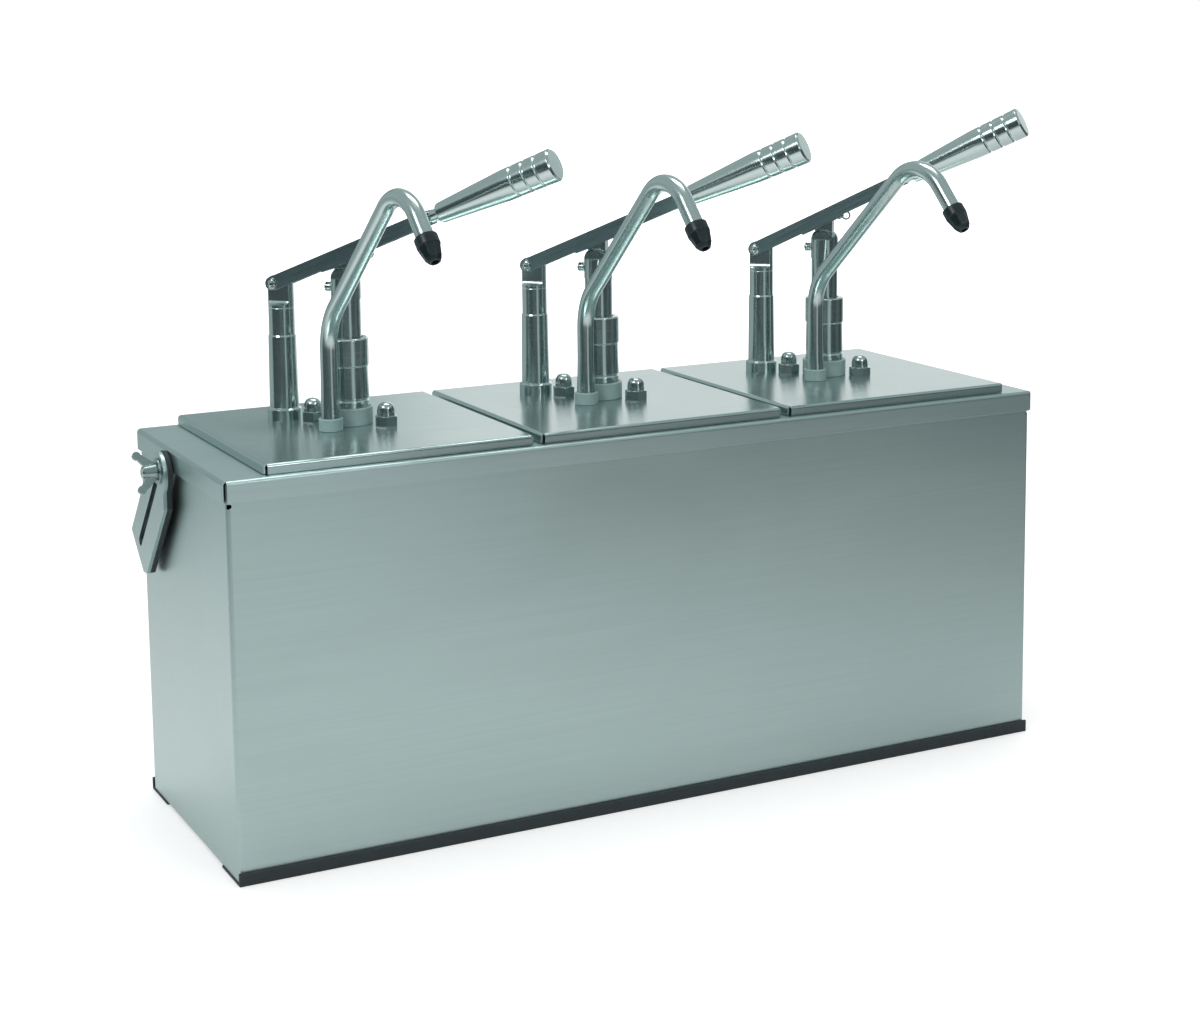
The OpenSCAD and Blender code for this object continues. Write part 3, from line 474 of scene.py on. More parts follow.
def shade(colour, factor, lift=0.0):
    """A colour made darker or lighter, opaque."""
    return [min(1.0, part * factor + lift) for part in colour] + [1.0]


def blend_colour(tree, factor, first, second):
    """Two colours mixed by a factor."""
    return put(tree, "ShaderNodeMix", {0: factor, 6: first, 7: second},
               data_type="RGBA").outputs[2]


def noise(tree, place, scale, detail, roughness=0.5, distortion=0.0):
    """The value of a noise pattern."""
    return put(tree, "ShaderNodeTexNoise", {"Vector": place, "Scale": scale, "Detail": detail,
                                            "Roughness": roughness,
                                            "Distortion": distortion}).outputs["Fac"]


def bump(tree, height, distance, under=None):
    """The normal of a surface raised by a height pattern, over another normal if one is given."""
    node = put(tree, "ShaderNodeBump", {"Height": height, "Strength": 1.0, "Distance": distance})
    if under is not None:
        tree.links.new(under, node.inputs["Normal"])
    return node.outputs[0]


def own_value(tree, name, output):
    """A value that the piece's own mesh carries."""
    return put(tree, "ShaderNodeAttribute", attribute_name=name).outputs[output]


def shared_group(name, numbers, results, build):
    """A shader node group, built once: a place and numbers go in, varying values come out."""
    if name in bpy.data.node_groups:
        return bpy.data.node_groups[name]
    group = bpy.data.node_groups.new(name, "ShaderNodeTree")
    group.interface.new_socket(name="Place", in_out="INPUT", socket_type="NodeSocketVector")
    for title, default in numbers.items():
        socket = group.interface.new_socket(name=title, in_out="INPUT",
                                            socket_type="NodeSocketFloat")
        socket.default_value = default
    for title in results:
        group.interface.new_socket(name=title, in_out="OUTPUT", socket_type="NodeSocketFloat")
    given = group.nodes.new("NodeGroupInput")
    out = group.nodes.new("NodeGroupOutput")
    for title, value in zip(results, build(group, given.outputs)):
        group.links.new(value, out.inputs[title])
    return group


def use(tree, group, **inputs):
    """Places a shared group in a material with its own values, and gives its outputs."""
    return put(tree, "ShaderNodeGroup", inputs, node_tree=group).outputs


def brushed_grain():
    """Fine lines along X, broken up by longer faint streaks."""
    def build(tree, given):
        scale = put(tree, "ShaderNodeCombineXYZ", {0: given["Along"], 1: given["Across"],
                                                   2: given["Across"]}).outputs[0]
        fine = vector(tree, "MULTIPLY", given["Place"], scale)
        wide = vector(tree, "MULTIPLY", fine, (0.4, 0.35, 0.35))
        return noise(tree, fine, 1.0, 4.0, roughness=0.65), noise(tree, wide, 1.0, 3.0)
    return shared_group("Brushed grain", {"Along": 14.0, "Across": 1600.0},
                        ("Lines", "Streaks"), build)


def turned_grain():
    """Rings left by the lathe: lines that follow height and radius round the Z axis."""
    def build(tree, given):
        parts = put(tree, "ShaderNodeSeparateXYZ", {0: given["Place"]}).outputs
        across = calc(tree, "ADD", calc(tree, "MULTIPLY", parts[0], parts[0]),
                      calc(tree, "MULTIPLY", parts[1], parts[1]))
        run = calc(tree, "MULTIPLY", calc(tree, "ADD", parts[2], calc(tree, "SQRT", across)),
                   given["Pitch"])
        line = put(tree, "ShaderNodeCombineXYZ", {2: run}).outputs[0]
        around = vector(tree, "MULTIPLY", given["Place"], (40.0, 40.0, 0.0))
        rings = noise(tree, vector(tree, "ADD", around, line), 1.0, 3.0, roughness=0.6)
        return rings, noise(tree, given["Place"], 260.0, 5.0, roughness=0.6)
    return shared_group("Turned grain", {"Pitch": 2600.0}, ("Rings", "Marks"), build)


def soft_clouds():
    """Broad faint tone and the slight waves of thin sheet."""
    def build(tree, given):
        squeezed = vector(tree, "MULTIPLY", given["Place"], (0.6, 1.0, 1.5))
        clouds = noise(tree, squeezed, given["Scale"], 4.0, roughness=0.55, distortion=0.4)
        return clouds, noise(tree, given["Place"], given["Scale"], 0.0)
    return shared_group("Soft clouds", {"Scale": 7.0}, ("Clouds", "Waves"), build)


def edge_wear_and_sheen():
    """Patches along the rounded edges: wear, and on the dark levers a painted highlight where the
    edges catch light.
    """
    def build(tree, given):
        patches = ramp(tree, noise(tree, given["Place"], 420.0, 3.0), 0.30, 0.62)
        return [calc(tree, "MULTIPLY", given["Edge"], patches)]
    return shared_group("Edge wear", {"Edge": 0.0}, ("Worn",), build)


def moulded_skin():
    """The fine skin of moulded plastic and rubber."""
    def build(tree, given):
        skin = noise(tree, given["Place"], given["Scale"], 2.0)
        return skin, noise(tree, given["Place"], 110.0, 4.0)
    return shared_group("Moulded skin", {"Scale": 3000.0}, ("Skin", "Patches"), build)


# Finishes

def open_material(name):
    """An empty node material with its shader and output."""
    material = bpy.data.materials.new(name)
    material.use_nodes = True
    tree = material.node_tree
    tree.nodes.clear()
    shader = tree.nodes.new("ShaderNodeBsdfPrincipled")
    output = tree.nodes.new("ShaderNodeOutputMaterial")
    tree.links.new(shader.outputs[0], output.inputs["Surface"])
    return material, tree, shader


def own_marks(tree):
    """A piece's own place, and the patches of wear and painted sheen on its rounded edges."""
    place = own_value(tree, "own_place", "Vector")
    # Edge patches that the finishes brighten: partly wear, partly a painted highlight
    wear = use(tree, edge_wear_and_sheen(), Place=place, Edge=own_value(tree, "worn", "Fac"))
    return place, wear["Worn"]


def sheet_steel(name, colour, rough, depth, waves, scale, stretch):
    """Brushed sheet: lines along the sheet's length, soft clouds, slight waves."""
    material, tree, shader = open_material(name)
    place = put(tree, "ShaderNodeTexCoord").outputs["Object"]
    grain = use(tree, brushed_grain(), Place=place, Along=14.0, Across=1600.0)
    cloud = use(tree, soft_clouds(), Place=place, Scale=scale)
    streak = ramp(tree, weigh(tree, grain["Streaks"], 0.3, cloud["Clouds"]), 0.3, 0.7)
    gloss = weigh(tree, grain["Lines"], 0.5, cloud["Clouds"])
    fine = bump(tree, grain["Lines"], depth)
    face = put(tree, "ShaderNodeNewGeometry").outputs["True Normal"]
    across = vector(tree, "CROSS_PRODUCT", face, (1.0, 0.002, 0.0))
    feed(tree, shader, {
        "Base Color": blend_colour(tree, streak, shade(colour, 0.94), shade(colour, 1.05)),
        "Roughness": ramp(tree, gloss, 0.3, 0.7, rough - 0.03, rough + 0.04),
        "Normal": bump(tree, cloud["Waves"], waves, under=fine),
        "Tangent": vector(tree, "NORMALIZE", across),
        "Metallic": 1.0, "Anisotropic": stretch})
    return material


def turned_steel(name, colour, rough, depth, stretch):
    """Turned or drawn steel: lathe rings, faint marks, rounded edges brightened by the edge wear
    and painted sheen.
    """
    material, tree, shader = open_material(name)
    place, worn = own_marks(tree)
    grain = use(tree, turned_grain(), Place=place, Pitch=2600.0)
    tint = blend_colour(tree, grain["Rings"], shade(colour, 0.95), shade(colour, 1.05))
    gloss = calc(tree, "ADD",
                 ramp(tree, grain["Rings"], 0.3, 0.7, rough - 0.02, rough + 0.02),
                 calc(tree, "MULTIPLY", ramp(tree, grain["Marks"], 0.35, 0.7), 0.03))
    feed(tree, shader, {
        "Base Color": blend_colour(tree, worn, tint, shade(colour, 1.25)),
        "Roughness": calc(tree, "SUBTRACT", gloss, calc(tree, "MULTIPLY", worn, 0.04),
                          clamp=True),
        "Normal": bump(tree, grain["Rings"], depth),
        "Tangent": own_value(tree, "along", "Vector"),
        "Metallic": 1.0, "Anisotropic": stretch})
    return material


def flat_bar_steel(name, colour, rough, depth):
    """Dark rolled bar: faint lines along its length, and rounded edges made near white in patches:
    wear, and a painted highlight where the edges catch light.
    """
    material, tree, shader = open_material(name)
    place, worn = own_marks(tree)
    grain = use(tree, brushed_grain(), Place=place, Along=18.0, Across=2200.0)
    cloud = ramp(tree, use(tree, soft_clouds(), Place=place, Scale=22.0)["Clouds"], 0.3, 0.7)
    tint = blend_colour(tree, cloud, shade(colour, 0.90), shade(colour, 1.12))
    feed(tree, shader, {
        # Painted highlight: the rounded edges' colour is raised far past the bar's own, standing in
        # for light caught along them; partly wear
        "Base Color": blend_colour(tree, worn, tint, shade(colour, 2.2)),
        "Roughness": ramp(tree, grain["Lines"], 0.3, 0.7, rough - 0.04, rough + 0.04),
        "Normal": bump(tree, grain["Lines"], depth), "Metallic": 1.0})
    return material


def moulded(name, colour, rough, depth, coat=0.0, through=0.0):
    """Moulded plastic or rubber: fine skin, faint patches, paler rubbed edges."""
    material, tree, shader = open_material(name)
    place, worn = own_marks(tree)
    skin = use(tree, moulded_skin(), Place=place)
    patches = ramp(tree, skin["Patches"], 0.3, 0.7)
    tint = blend_colour(tree, patches, shade(colour, 0.85), shade(colour, 1.15))
    feed(tree, shader, {
        "Base Color": blend_colour(tree, worn, tint, shade(colour, 1.3, 0.01)),
        "Roughness": ramp(tree, skin["Patches"], 0.3, 0.7, rough - 0.05, rough + 0.06),
        "Normal": bump(tree, skin["Skin"], depth),
        "Coat Weight": coat, "Subsurface Weight": through, "Subsurface Scale": 2 * MM})
    return material


# Each slot's maker, its colour and roughness in the settings, and what its surface has
FINISHES = {
    "satin_steel": (sheet_steel, "satin", "satin_rough",
                    {"depth": 3e-6, "waves": 5e-4, "scale": 5.0, "stretch": 0.55}),
    "rim_steel": (sheet_steel, "rim", "satin_rough",
                  {"depth": 4e-6, "waves": 3e-4, "scale": 6.0, "stretch": 0.55}),
    "lid_steel": (sheet_steel, "lid", "lid_rough",
                  {"depth": 8e-7, "waves": 1.2e-4, "scale": 8.0, "stretch": 0.80}),
    "polished_steel": (turned_steel, "polished", "polished_rough",
                       {"depth": 2e-7, "stretch": 0.6}),
    "drawn_steel": (turned_steel, "drawn", "drawn_rough", {"depth": 6e-8, "stretch": 0.5}),
    "bright_steel": (turned_steel, "bright", "bright_rough", {"depth": 2e-7, "stretch": 0.2}),
    "cast_steel": (turned_steel, "cast", "cast_rough", {"depth": 4e-7, "stretch": 0.1}),
    "dark_steel": (flat_bar_steel, "dark", "dark_rough", {"depth": 2e-6}),
    "ring_plastic": (moulded, "ring", "ring_rough",
                     {"depth": 4e-6, "coat": 0.1, "through": 0.25}),
    "black_plastic": (moulded, "nozzle", "nozzle_rough", {"depth": 6e-6}),
    "black_rubber": (moulded, "rubber", "rubber_rough", {"depth": 3e-5}),
}


def finish(slot):
    """The material of a slot, made the first time it is asked for."""
    if slot in bpy.data.materials and bpy.data.materials[slot].get("station_finish"):
        return bpy.data.materials[slot]
    looks = settings()[1]
    make, colour, rough, surface = FINISHES[slot]
    made = make(slot + "_finish", getattr(looks, colour), getattr(looks, rough), **surface)
    old = bpy.data.materials.get(slot)
    if old:
        old.name = slot + "_packed"
    made.name = slot
    made["station_finish"] = True
    return made


# Pieces

class STATION_OT_housing(bpy.types.Operator):
    """Housing and rim frame: brushed sheet steel"""

    bl_idname = "station.housing"
    bl_label = "Housing"

    def execute(self, context):
        sizes = settings()[0]
        rounded_copy("housing", "folded_housing", "base", "satin_steel", sizes.sheet_edge)
        rounded_copy("rim_frame", "folded_rim", "base", "satin_steel", sizes.rim_edge,
                     look="rim_steel")
        return {"FINISHED"}


class STATION_OT_foot_strips(bpy.types.Operator):
    """Rubber strips along the foot, with soft edges"""

    bl_idname = "station.foot_strips"
    bl_label = "Foot strips"

    def execute(self, context):
        rounded_copy("foot_strips", "rubber_foot_strips", "base", "black_rubber",
                     settings()[0].rubber_edge, segments=3)
        return {"FINISHED"}


class STATION_OT_pans(bpy.types.Operator):
    """Pans under the lids"""

    bl_idname = "station.pans"
    bl_label = "Pans"

    def execute(self, context):
        for side in SIDES:
            rounded_copy(side + "_pan", side + "_deep_pan", side + "_pan", "satin_steel",
                         settings()[0].sheet_edge)
        return {"FINISHED"}


class STATION_OT_lids(bpy.types.Operator):
    """Shallow folded lids"""

    bl_idname = "station.lids"
    bl_label = "Lids"

    def execute(self, context):
        for side in SIDES:
            rounded_copy(side + "_lid", side + "_folded_lid", side + "_lid", "lid_steel",
                         settings()[0].sheet_edge)
        return {"FINISHED"}


class STATION_OT_posts(bpy.types.Operator):
    """Turned posts with a milled tongue, and the rivets through them"""

    bl_idname = "station.posts"
    bl_label = "Posts and rivets"

    def execute(self, context):
        sizes = settings()[0]
        for side in SIDES:
            self.post(side, sizes)
            self.rivet(side, sizes)
        return {"FINISHED"}

    def post(self, side, sizes):
        """Turns the post up to its shoulder, with the collar, step and seat line."""
        fulcrum = JOINTS[side + "_lever_press"]["pos_m"][2] - lid_top()
        step = fulcrum - sizes.step_below
        shoulder = fulcrum - sizes.tongue_below
        top = fulcrum + sizes.tongue_above
        neck = sizes.post_neck_d / 2
        thick = sizes.post_d / 2
        collar = sizes.collar_d / 2
        line = shoulder - sizes.tongue_r
        bm = bmesh.new()
        turn(bm, [
            (0, -sizes.spigot_len), (sizes.spigot_d / 2, -sizes.spigot_len),
            (sizes.spigot_d / 2, 0), (collar, 0), (collar, sizes.collar_h - MM),
            (thick, sizes.collar_h), (neck + MM / 2, step), (neck, step + MM),
            (neck, line - sizes.seat_line), (neck - sizes.seat_line, line),
            (neck, line + sizes.seat_line), (neck, shoulder), (0, shoulder),
        ], sizes.turn_steps)
        self.fillet(bm, sizes, shoulder)
        soften(bm, sizes.soft_edge, least=20)
        self.tongue(bm, sizes, shoulder, top)
        finish_piece(bm, side + "_turned_post", side + "_lid", "polished_steel",
                     post_frame(side, sizes), [side + "_post"])

    def fillet(self, bm, sizes, shoulder):
        """Hollows the shoulder on both sides of the tongue, as the milling cutter leaves it."""
        round_r = sizes.shoulder_r
        foot = sizes.tongue_t / 2
        cuts = 6
        for step in range(cuts + 1):
            reach = foot + round_r * (1 - math.cos(math.radians(90 * step / cuts)))
            for way in (-1, 1):
                cap = [face for face in bm.faces
                       if all(vert.co.z > shoulder - MM / 100 for vert in face.verts)]
                edges = {edge for face in cap for edge in face.edges}
                verts = {vert for face in cap for vert in face.verts}
                bmesh.ops.bisect_plane(bm, geom=[*verts, *edges, *cap],
                                       plane_co=(0, way * reach, 0), plane_no=(0, way, 0))
        for vert in bm.verts:
            if vert.co.z > shoulder - MM / 100:
                inwards = max(0.0, min(1.0, (foot + round_r - abs(vert.co.y)) / round_r))
                vert.co.z += round_r * (1 - math.sqrt(1 - inwards ** 2)) - sizes.shoulder_fall

    def tongue(self, bm, sizes, shoulder, top):
        """Adds the flat tongue, with its two upper corners rounded."""
        foot = shoulder - sizes.shoulder_fall - sizes.seat_line
        part = bmesh.new()
        bmesh.ops.create_cone(part, cap_ends=True, cap_tris=False, segments=sizes.turn_steps,
                              radius1=sizes.post_neck_d / 2 - sizes.fit,
                              radius2=sizes.post_neck_d / 2 - sizes.fit, depth=top - foot,
                              matrix=Matrix.Translation((0, 0, (top + foot) / 2)))
        for way in (-1, 1):
            slice_off(part, (0, way * sizes.tongue_t / 2, 0), (0, way, 0))
        close_up(part)
        corners = [edge for edge in part.edges
                   if all(vert.co.z > top - MM / 10 for vert in edge.verts)
                   and abs(edge.verts[0].co.y - edge.verts[1].co.y) > sizes.tongue_t * 0.02
                   and edge.is_manifold and edge.calc_face_angle(0.0) > 1.0]
        bmesh.ops.bevel(part, geom=corners, offset=sizes.tongue_r, offset_type="OFFSET",
                        affect="EDGES", segments=6, profile=0.5, clamp_overlap=True, material=-1)
        soften(part, sizes.soft_edge, least=35)
        join(bm, part)

    def rivet(self, side, sizes):
        """Turns the pin with a crowned head at both ends, then lays it across."""
        cheek = sizes.lever_w / 2
        crown = sizes.pin_head_t
        head = sizes.pin_head_d / 2
        half = [(0, crown * 0.55), (head * 0.30, crown * 0.60), (head * 0.45, crown),
                (head * 0.62, crown), (head * 0.72, crown * 0.40), (head, crown * 0.30), (head, 0)]
        outer = [(r, cheek + z) for r, z in half]
        inner = [(r, -cheek - z) for r, z in half]
        bm = bmesh.new()
        turn(bm, inner + [(sizes.pin_d / 2, -cheek), (sizes.pin_d / 2, cheek)] + outer[::-1],
             sizes.turn_steps // 2)
        soften(bm, sizes.soft_edge * 0.4, least=25)
        across = Matrix.Rotation(math.pi / 2, 4, "X")
        finish_piece(bm, side + "_rivet", side + "_lid", "bright_steel",
                     fulcrum_frame(side) @ across, [side + "_fulcrum_pin"])


class STATION_OT_levers(bpy.types.Operator):
    """Lever channels and the saddles under them, with rounded sheet edges"""

    bl_idname = "station.levers"
    bl_label = "Levers and saddles"

    def execute(self, context):
        sizes = settings()[0]
        for side in SIDES:
            for part, name in (("lever", "channel"), ("saddle", "link_saddle")):
                rounded_copy(side + "_" + part, side + "_" + name, side + "_lever", "dark_steel",
                             sizes.lever_edge, least=50, own=lever_frame(side, sizes))
        return {"FINISHED"}


class STATION_OT_handles(bpy.types.Operator):
    """Tapered handles with turned grooves"""

    bl_idname = "station.handles"
    bl_label = "Handles"

    def execute(self, context):
        sizes = settings()[0]
        for side in SIDES:
            bm = bmesh.new()
            turn(bm, self.profile(sizes), sizes.turn_steps)
            soften(bm, sizes.soft_edge * 0.6, least=25)
            along = Matrix.Rotation(math.pi / 2, 4, "Y")
            finish_piece(bm, side + "_turned_handle", side + "_lever", "polished_steel",
                         lever_frame(side, sizes) @ along, [side + "_handle"],
                         look="drawn_steel")
        return {"FINISHED"}

    def profile(self, sizes):
        """The handle's half outline, from the end in the channel to the free end."""
        bar = sizes.lever_bar
        grip = bar + sizes.neck_out
        end = grip + sizes.handle_len
        knee = grip + sizes.handle_len * sizes.handle_taper
        radius = sizes.handle_d / 2
        knee_r = (sizes.handle_d - sizes.handle_gain) / 2
        slope = (radius - knee_r) / (end - knee)
        points = [
            (0, bar - sizes.tang_len), (sizes.tang_d / 2, bar - sizes.tang_len),
            (sizes.tang_d / 2, bar + sizes.fit), (sizes.handle_neck_d / 2, bar + sizes.fit),
            (sizes.handle_neck_d / 2, grip),
            (sizes.handle_small_d / 2 - sizes.handle_round / 2, grip),
            (sizes.handle_small_d / 2, grip + sizes.handle_round), (knee_r, knee),
        ]
        for count in (2, 1, 0):
            middle = end - sizes.groove_first - count * sizes.groove_gap
            for step, deep in ((-0.5, 0.0), (0.0, sizes.groove_deep), (0.5, 0.0)):
                z = middle + step * sizes.groove_w
                points.append((radius - slope * (end - z) - deep, z))
        return points + [(radius, end - sizes.handle_round),
                         (radius - sizes.handle_round, end), (0, end)]


class STATION_OT_pistons(bpy.types.Operator):
    """Pistons with their lock screws"""

    bl_idname = "station.pistons"
    bl_label = "Pistons"

    def execute(self, context):
        sizes = settings()[0]
        for side in SIDES:
            for part, name, slot, edge in (
                    ("_piston", "_plunger", "polished_steel", sizes.soft_edge),
                    ("_lock_screw", "_knob_screw", "bright_steel", sizes.sheet_edge)):
                rounded_copy(side + part, side + name, side + "_piston", slot, edge, least=40,
                             own=pump_frame(side))
        return {"FINISHED"}


class STATION_OT_pump_heads(bpy.types.Operator):
    """Pump heads, their rings and cap nuts"""

    bl_idname = "station.pump_heads"
    bl_label = "Pump heads"

    def execute(self, context):
        sizes = settings()[0]
        for side in SIDES:
            self.head(side, sizes)
            self.rings(side, sizes)
            self.nuts(side, sizes)
        return {"FINISHED"}

    def head(self, side, sizes):
        """Turns the pump head with its bore, wiper recess, groove and collar."""
        foot = sizes.head_foot_d / 2
        top = sizes.head_d / 2
        bore = sizes.head_bore_d / 2
        wiper = sizes.wiper_d / 2
        step = sizes.head_h - sizes.head_collar_h
        mark = sizes.head_groove_h
        low = -sizes.spigot_deep
        bm = bmesh.new()
        turn(bm, [
            (bore, low), (sizes.spigot_in_d / 2, low), (sizes.spigot_in_d / 2, 0), (foot, 0),
            (foot, mark - sizes.groove_w), (foot - sizes.groove_deep, mark - sizes.groove_w / 2),
            (foot, mark), (sizes.head_low_d / 2, step), (top, step + sizes.head_chamfer),
            (top, sizes.head_h - sizes.head_chamfer), (top - sizes.head_chamfer, sizes.head_h),
            (wiper, sizes.head_h), (wiper, sizes.head_h - sizes.wiper_deep),
            (bore, sizes.head_h - sizes.wiper_deep), (bore, low),
        ], sizes.turn_steps)
        soften(bm, sizes.soft_edge * 0.7, least=25)
        finish_piece(bm, side + "_turned_head", side + "_lid", "polished_steel",
                     pump_frame(side), [side + "_pump_head"])

    def rings(self, side, sizes):
        """The plain rings that seal the pump head and the spout on the lid."""
        for name, hole_d, wall, high, place in (
                ("_pump_ring", sizes.head_foot_d, sizes.ring_wall + sizes.fit, sizes.ring_h,
                 pump_frame(side)),
                ("_spout_ring", sizes.spout_d, sizes.spout_ring_wall, sizes.spout_ring_h,
                 spout_frame(side, sizes))):
            inner = hole_d / 2 + sizes.fit
            outer = hole_d / 2 + wall
            bm = bmesh.new()
            turn(bm, [(inner, 0), (outer, 0), (outer, high), (inner, high), (inner, 0)],
                 sizes.turn_steps)
            soften(bm, sizes.rubber_edge, segments=3, least=40)
            finish_piece(bm, side + name, side + "_lid", "ring_plastic", place,
                         [side + "_lid_rings"])

    def nuts(self, side, sizes):
        """One cap nut on each side of the pump head."""
        for way, place_name in ((-1, "inner"), (1, "outer")):
            bm = bmesh.new()
            self.hexagon(bm, sizes)
            self.dome(bm, sizes)
            step = Matrix.Translation((way * sizes.nut_gap, 0, 0))
            finish_piece(bm, side + "_" + place_name + "_cap_nut", side + "_lid",
                         "bright_steel", pump_frame(side) @ step, [side + "_cap_nuts"])

    def hexagon(self, bm, sizes):
        """Turns the nut's base with sloping shoulders and slices its six flats."""
        corner = sizes.nut_af / 2 / math.cos(math.radians(30))
        fall = (corner - sizes.nut_af / 2) * 1.5
        turn(bm, [(0, 0), (corner - fall / 3, 0), (corner, fall / 3),
                  (corner, sizes.nut_hex_h - fall / 2), (corner - fall, sizes.nut_hex_h),
                  (0, sizes.nut_hex_h)], sizes.turn_steps)
        for side in range(6):
            face = Matrix.Rotation(math.radians(60 * side + 30), 3, "Z") @ Vector((1, 0, 0))
            slice_off(bm, face * sizes.nut_af / 2, face)
        close_up(bm)
        soften(bm, sizes.soft_edge * 0.7, least=18)

    def dome(self, bm, sizes):
        """Adds the dome, fuller than a half sphere."""
        radius = sizes.nut_dome_d / 2
        rise = sizes.nut_h - sizes.nut_hex_h - MM
        arc = [(radius * math.cos(math.radians(a)) ** sizes.nut_round,
                sizes.nut_hex_h + MM + rise * math.sin(math.radians(a)) ** sizes.nut_round)
               for a in range(0, 81, 8)]
        part = bmesh.new()
        turn(part, [(0, MM), (radius, MM)] + arc + [(0, sizes.nut_h)], sizes.turn_steps)
        join(bm, part)


class STATION_OT_spouts(bpy.types.Operator):
    """Bent spout tubes and their nozzles"""

    bl_idname = "station.spouts"
    bl_label = "Spouts"

    def execute(self, context):
        sizes = settings()[0]
        for side in SIDES:
            self.tube(side, sizes)
            self.nozzle(side, sizes)
        return {"FINISHED"}

    def tube(self, side, sizes):
        """Draws a circle up, round the lower bend, along, and over the top bend."""
        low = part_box(side + "_spout")[0].z - lid_top()
        ring = sizes.spout_ring_h + sizes.fit
        radius = sizes.spout_d / 2
        bm = bmesh.new()
        layer = bm.verts.layers.float_vector.new("along")
        bmesh.ops.create_circle(bm, cap_ends=False, segments=sizes.tube_sides, radius=radius,
                                matrix=Matrix.Translation((0, 0, low)))
        for vert in bm.verts:
            vert[layer] = (0, 0, 1)
        edges = bm.edges[:]
        bmesh.ops.contextual_create(bm, geom=edges)
        edges = self.push(bm, edges, (0, 0, ring - low))
        edges = self.widen(bm, edges, (radius + sizes.flare_out) / radius)
        edges = self.push(bm, edges, (0, 0, sizes.flare_len))
        edges = self.widen(bm, edges, radius / (radius + sizes.flare_out), extrude=False)
        edges = self.push(bm, edges, (0, 0, sizes.spout_rise - ring - sizes.flare_len))
        upright = Matrix.Identity(3)
        edges = self.bend(bm, edges, upright, sizes.bend_low_r, sizes.bend_low, steps=12)
        heading = Matrix.Rotation(sizes.bend_low, 3, "Y")
        edges = self.push(bm, edges, heading @ Vector((0, 0, sizes.spout_run)))
        edges = self.bend(bm, edges, heading, sizes.bend_top_r, sizes.bend_top, steps=24)
        heading = Matrix.Rotation(sizes.bend_low + sizes.bend_top, 3, "Y")
        drop = sizes.spout_drops[SIDES.index(side)]
        edges = self.push(bm, edges, heading @ Vector((0, 0, drop)))
        bmesh.ops.contextual_create(bm, geom=edges)
        close_up(bm)
        finish_piece(bm, side + "_bent_spout", side + "_lid", "polished_steel",
                     spout_frame(side, sizes), [side + "_spout"], look="drawn_steel")

    def push(self, bm, edges, step):
        """Extrudes an open loop straight on."""
        made = bmesh.ops.extrude_edge_only(bm, edges=edges)["geom"]
        verts = [item for item in made if isinstance(item, bmesh.types.BMVert)]
        bmesh.ops.translate(bm, verts=verts, vec=step)
        return only_edges(made)

    def loop(self, edges):
        """An open loop's vertices and their middle."""
        verts = list({vert for edge in edges for vert in edge.verts})
        return verts, sum((vert.co for vert in verts), Vector()) / len(verts)

    def widen(self, bm, edges, factor, extrude=True):
        """Makes an open loop wider or narrower about its own middle."""
        if extrude:
            edges = self.push(bm, edges, (0, 0, 0))
        verts, middle = self.loop(edges)
        bmesh.ops.scale(bm, verts=verts, vec=(factor, factor, 1),
                        space=Matrix.Translation(-middle))
        return edges

    def bend(self, bm, edges, heading, radius, sweep, steps):
        """Spins an open loop round the bend's centre, towards the heading's +X."""
        verts, middle = self.loop(edges)
        centre = middle + heading @ Vector((radius, 0, 0))
        before = set(bm.verts)
        made = bmesh.ops.spin(bm, geom=verts + edges, cent=centre, axis=(0, 1, 0), angle=sweep,
                              steps=steps, use_merge=False, use_normal_flip=False,
                              use_duplicate=False)["geom_last"]
        layer = bm.verts.layers.float_vector["along"]
        start = heading @ Vector((-1, 0, 0))
        for vert in set(bm.verts) - before:
            arm = vert.co - centre
            swept = math.atan2(start.cross(arm).y, start.dot(arm))
            vert[layer] = Matrix.Rotation(swept, 3, "Y") @ heading @ Vector((0, 0, 1))
        return only_edges(made)

    def nozzle(self, side, sizes):
        """Turns the sleeve that holds the spout's end, and the faceted cone below it."""
        sleeve = sizes.spout_d / 2 + sizes.nozzle_wall
        bore = sizes.spout_d / 2 + sizes.fit
        tip = sizes.nozzle_tip_d / 2
        hole = sizes.nozzle_bore_d / 2
        cuff = sizes.nozzle_sleeve - sizes.nozzle_over
        end = cuff + sizes.nozzle_cone
        bm = bmesh.new()
        turn(bm, [(bore, -sizes.nozzle_over), (sleeve, -sizes.nozzle_over), (sleeve, cuff),
                  (hole, cuff), (hole, sizes.fit), (bore, sizes.fit),
                  (bore, -sizes.nozzle_over)], sizes.turn_steps)
        soften(bm, sizes.soft_edge * 1.5, segments=3, least=40)
        part = bmesh.new()
        turn(part, [(hole, cuff), (sleeve, cuff), (tip + (sleeve - tip) * 0.45, end - 3 * MM),
                    (tip, end - MM / 2), (tip - MM / 2, end), (hole, end), (hole, cuff)],
             sizes.nozzle_sides)
        soften(part, sizes.soft_edge * 1.5, segments=3, least=12)
        join(bm, part)
        finish_piece(bm, side + "_black_nozzle", side + "_lid", "black_plastic",
                     spout_frame(side, sizes) @ self.spout_end(side, sizes),
                     [side + "_nozzle"])

    def spout_end(self, side, sizes):
        """Frame at the spout's open end, +Z the way the sauce leaves."""
        low, top = sizes.bend_low, sizes.bend_low + sizes.bend_top
        drop = sizes.spout_drops[SIDES.index(side)]
        reach = sizes.bend_low_r * (1 - math.cos(low)) + sizes.spout_run * math.sin(low)
        rise = sizes.spout_rise + sizes.bend_low_r * math.sin(low) + sizes.spout_run * math.cos(low)
        reach += sizes.bend_top_r * (math.cos(low) - math.cos(top)) + drop * math.sin(top)
        rise += sizes.bend_top_r * (math.sin(top) - math.sin(low)) + drop * math.cos(top)
        return Matrix.Translation((reach, 0, rise)) @ Matrix.Rotation(top, 4, "Y")


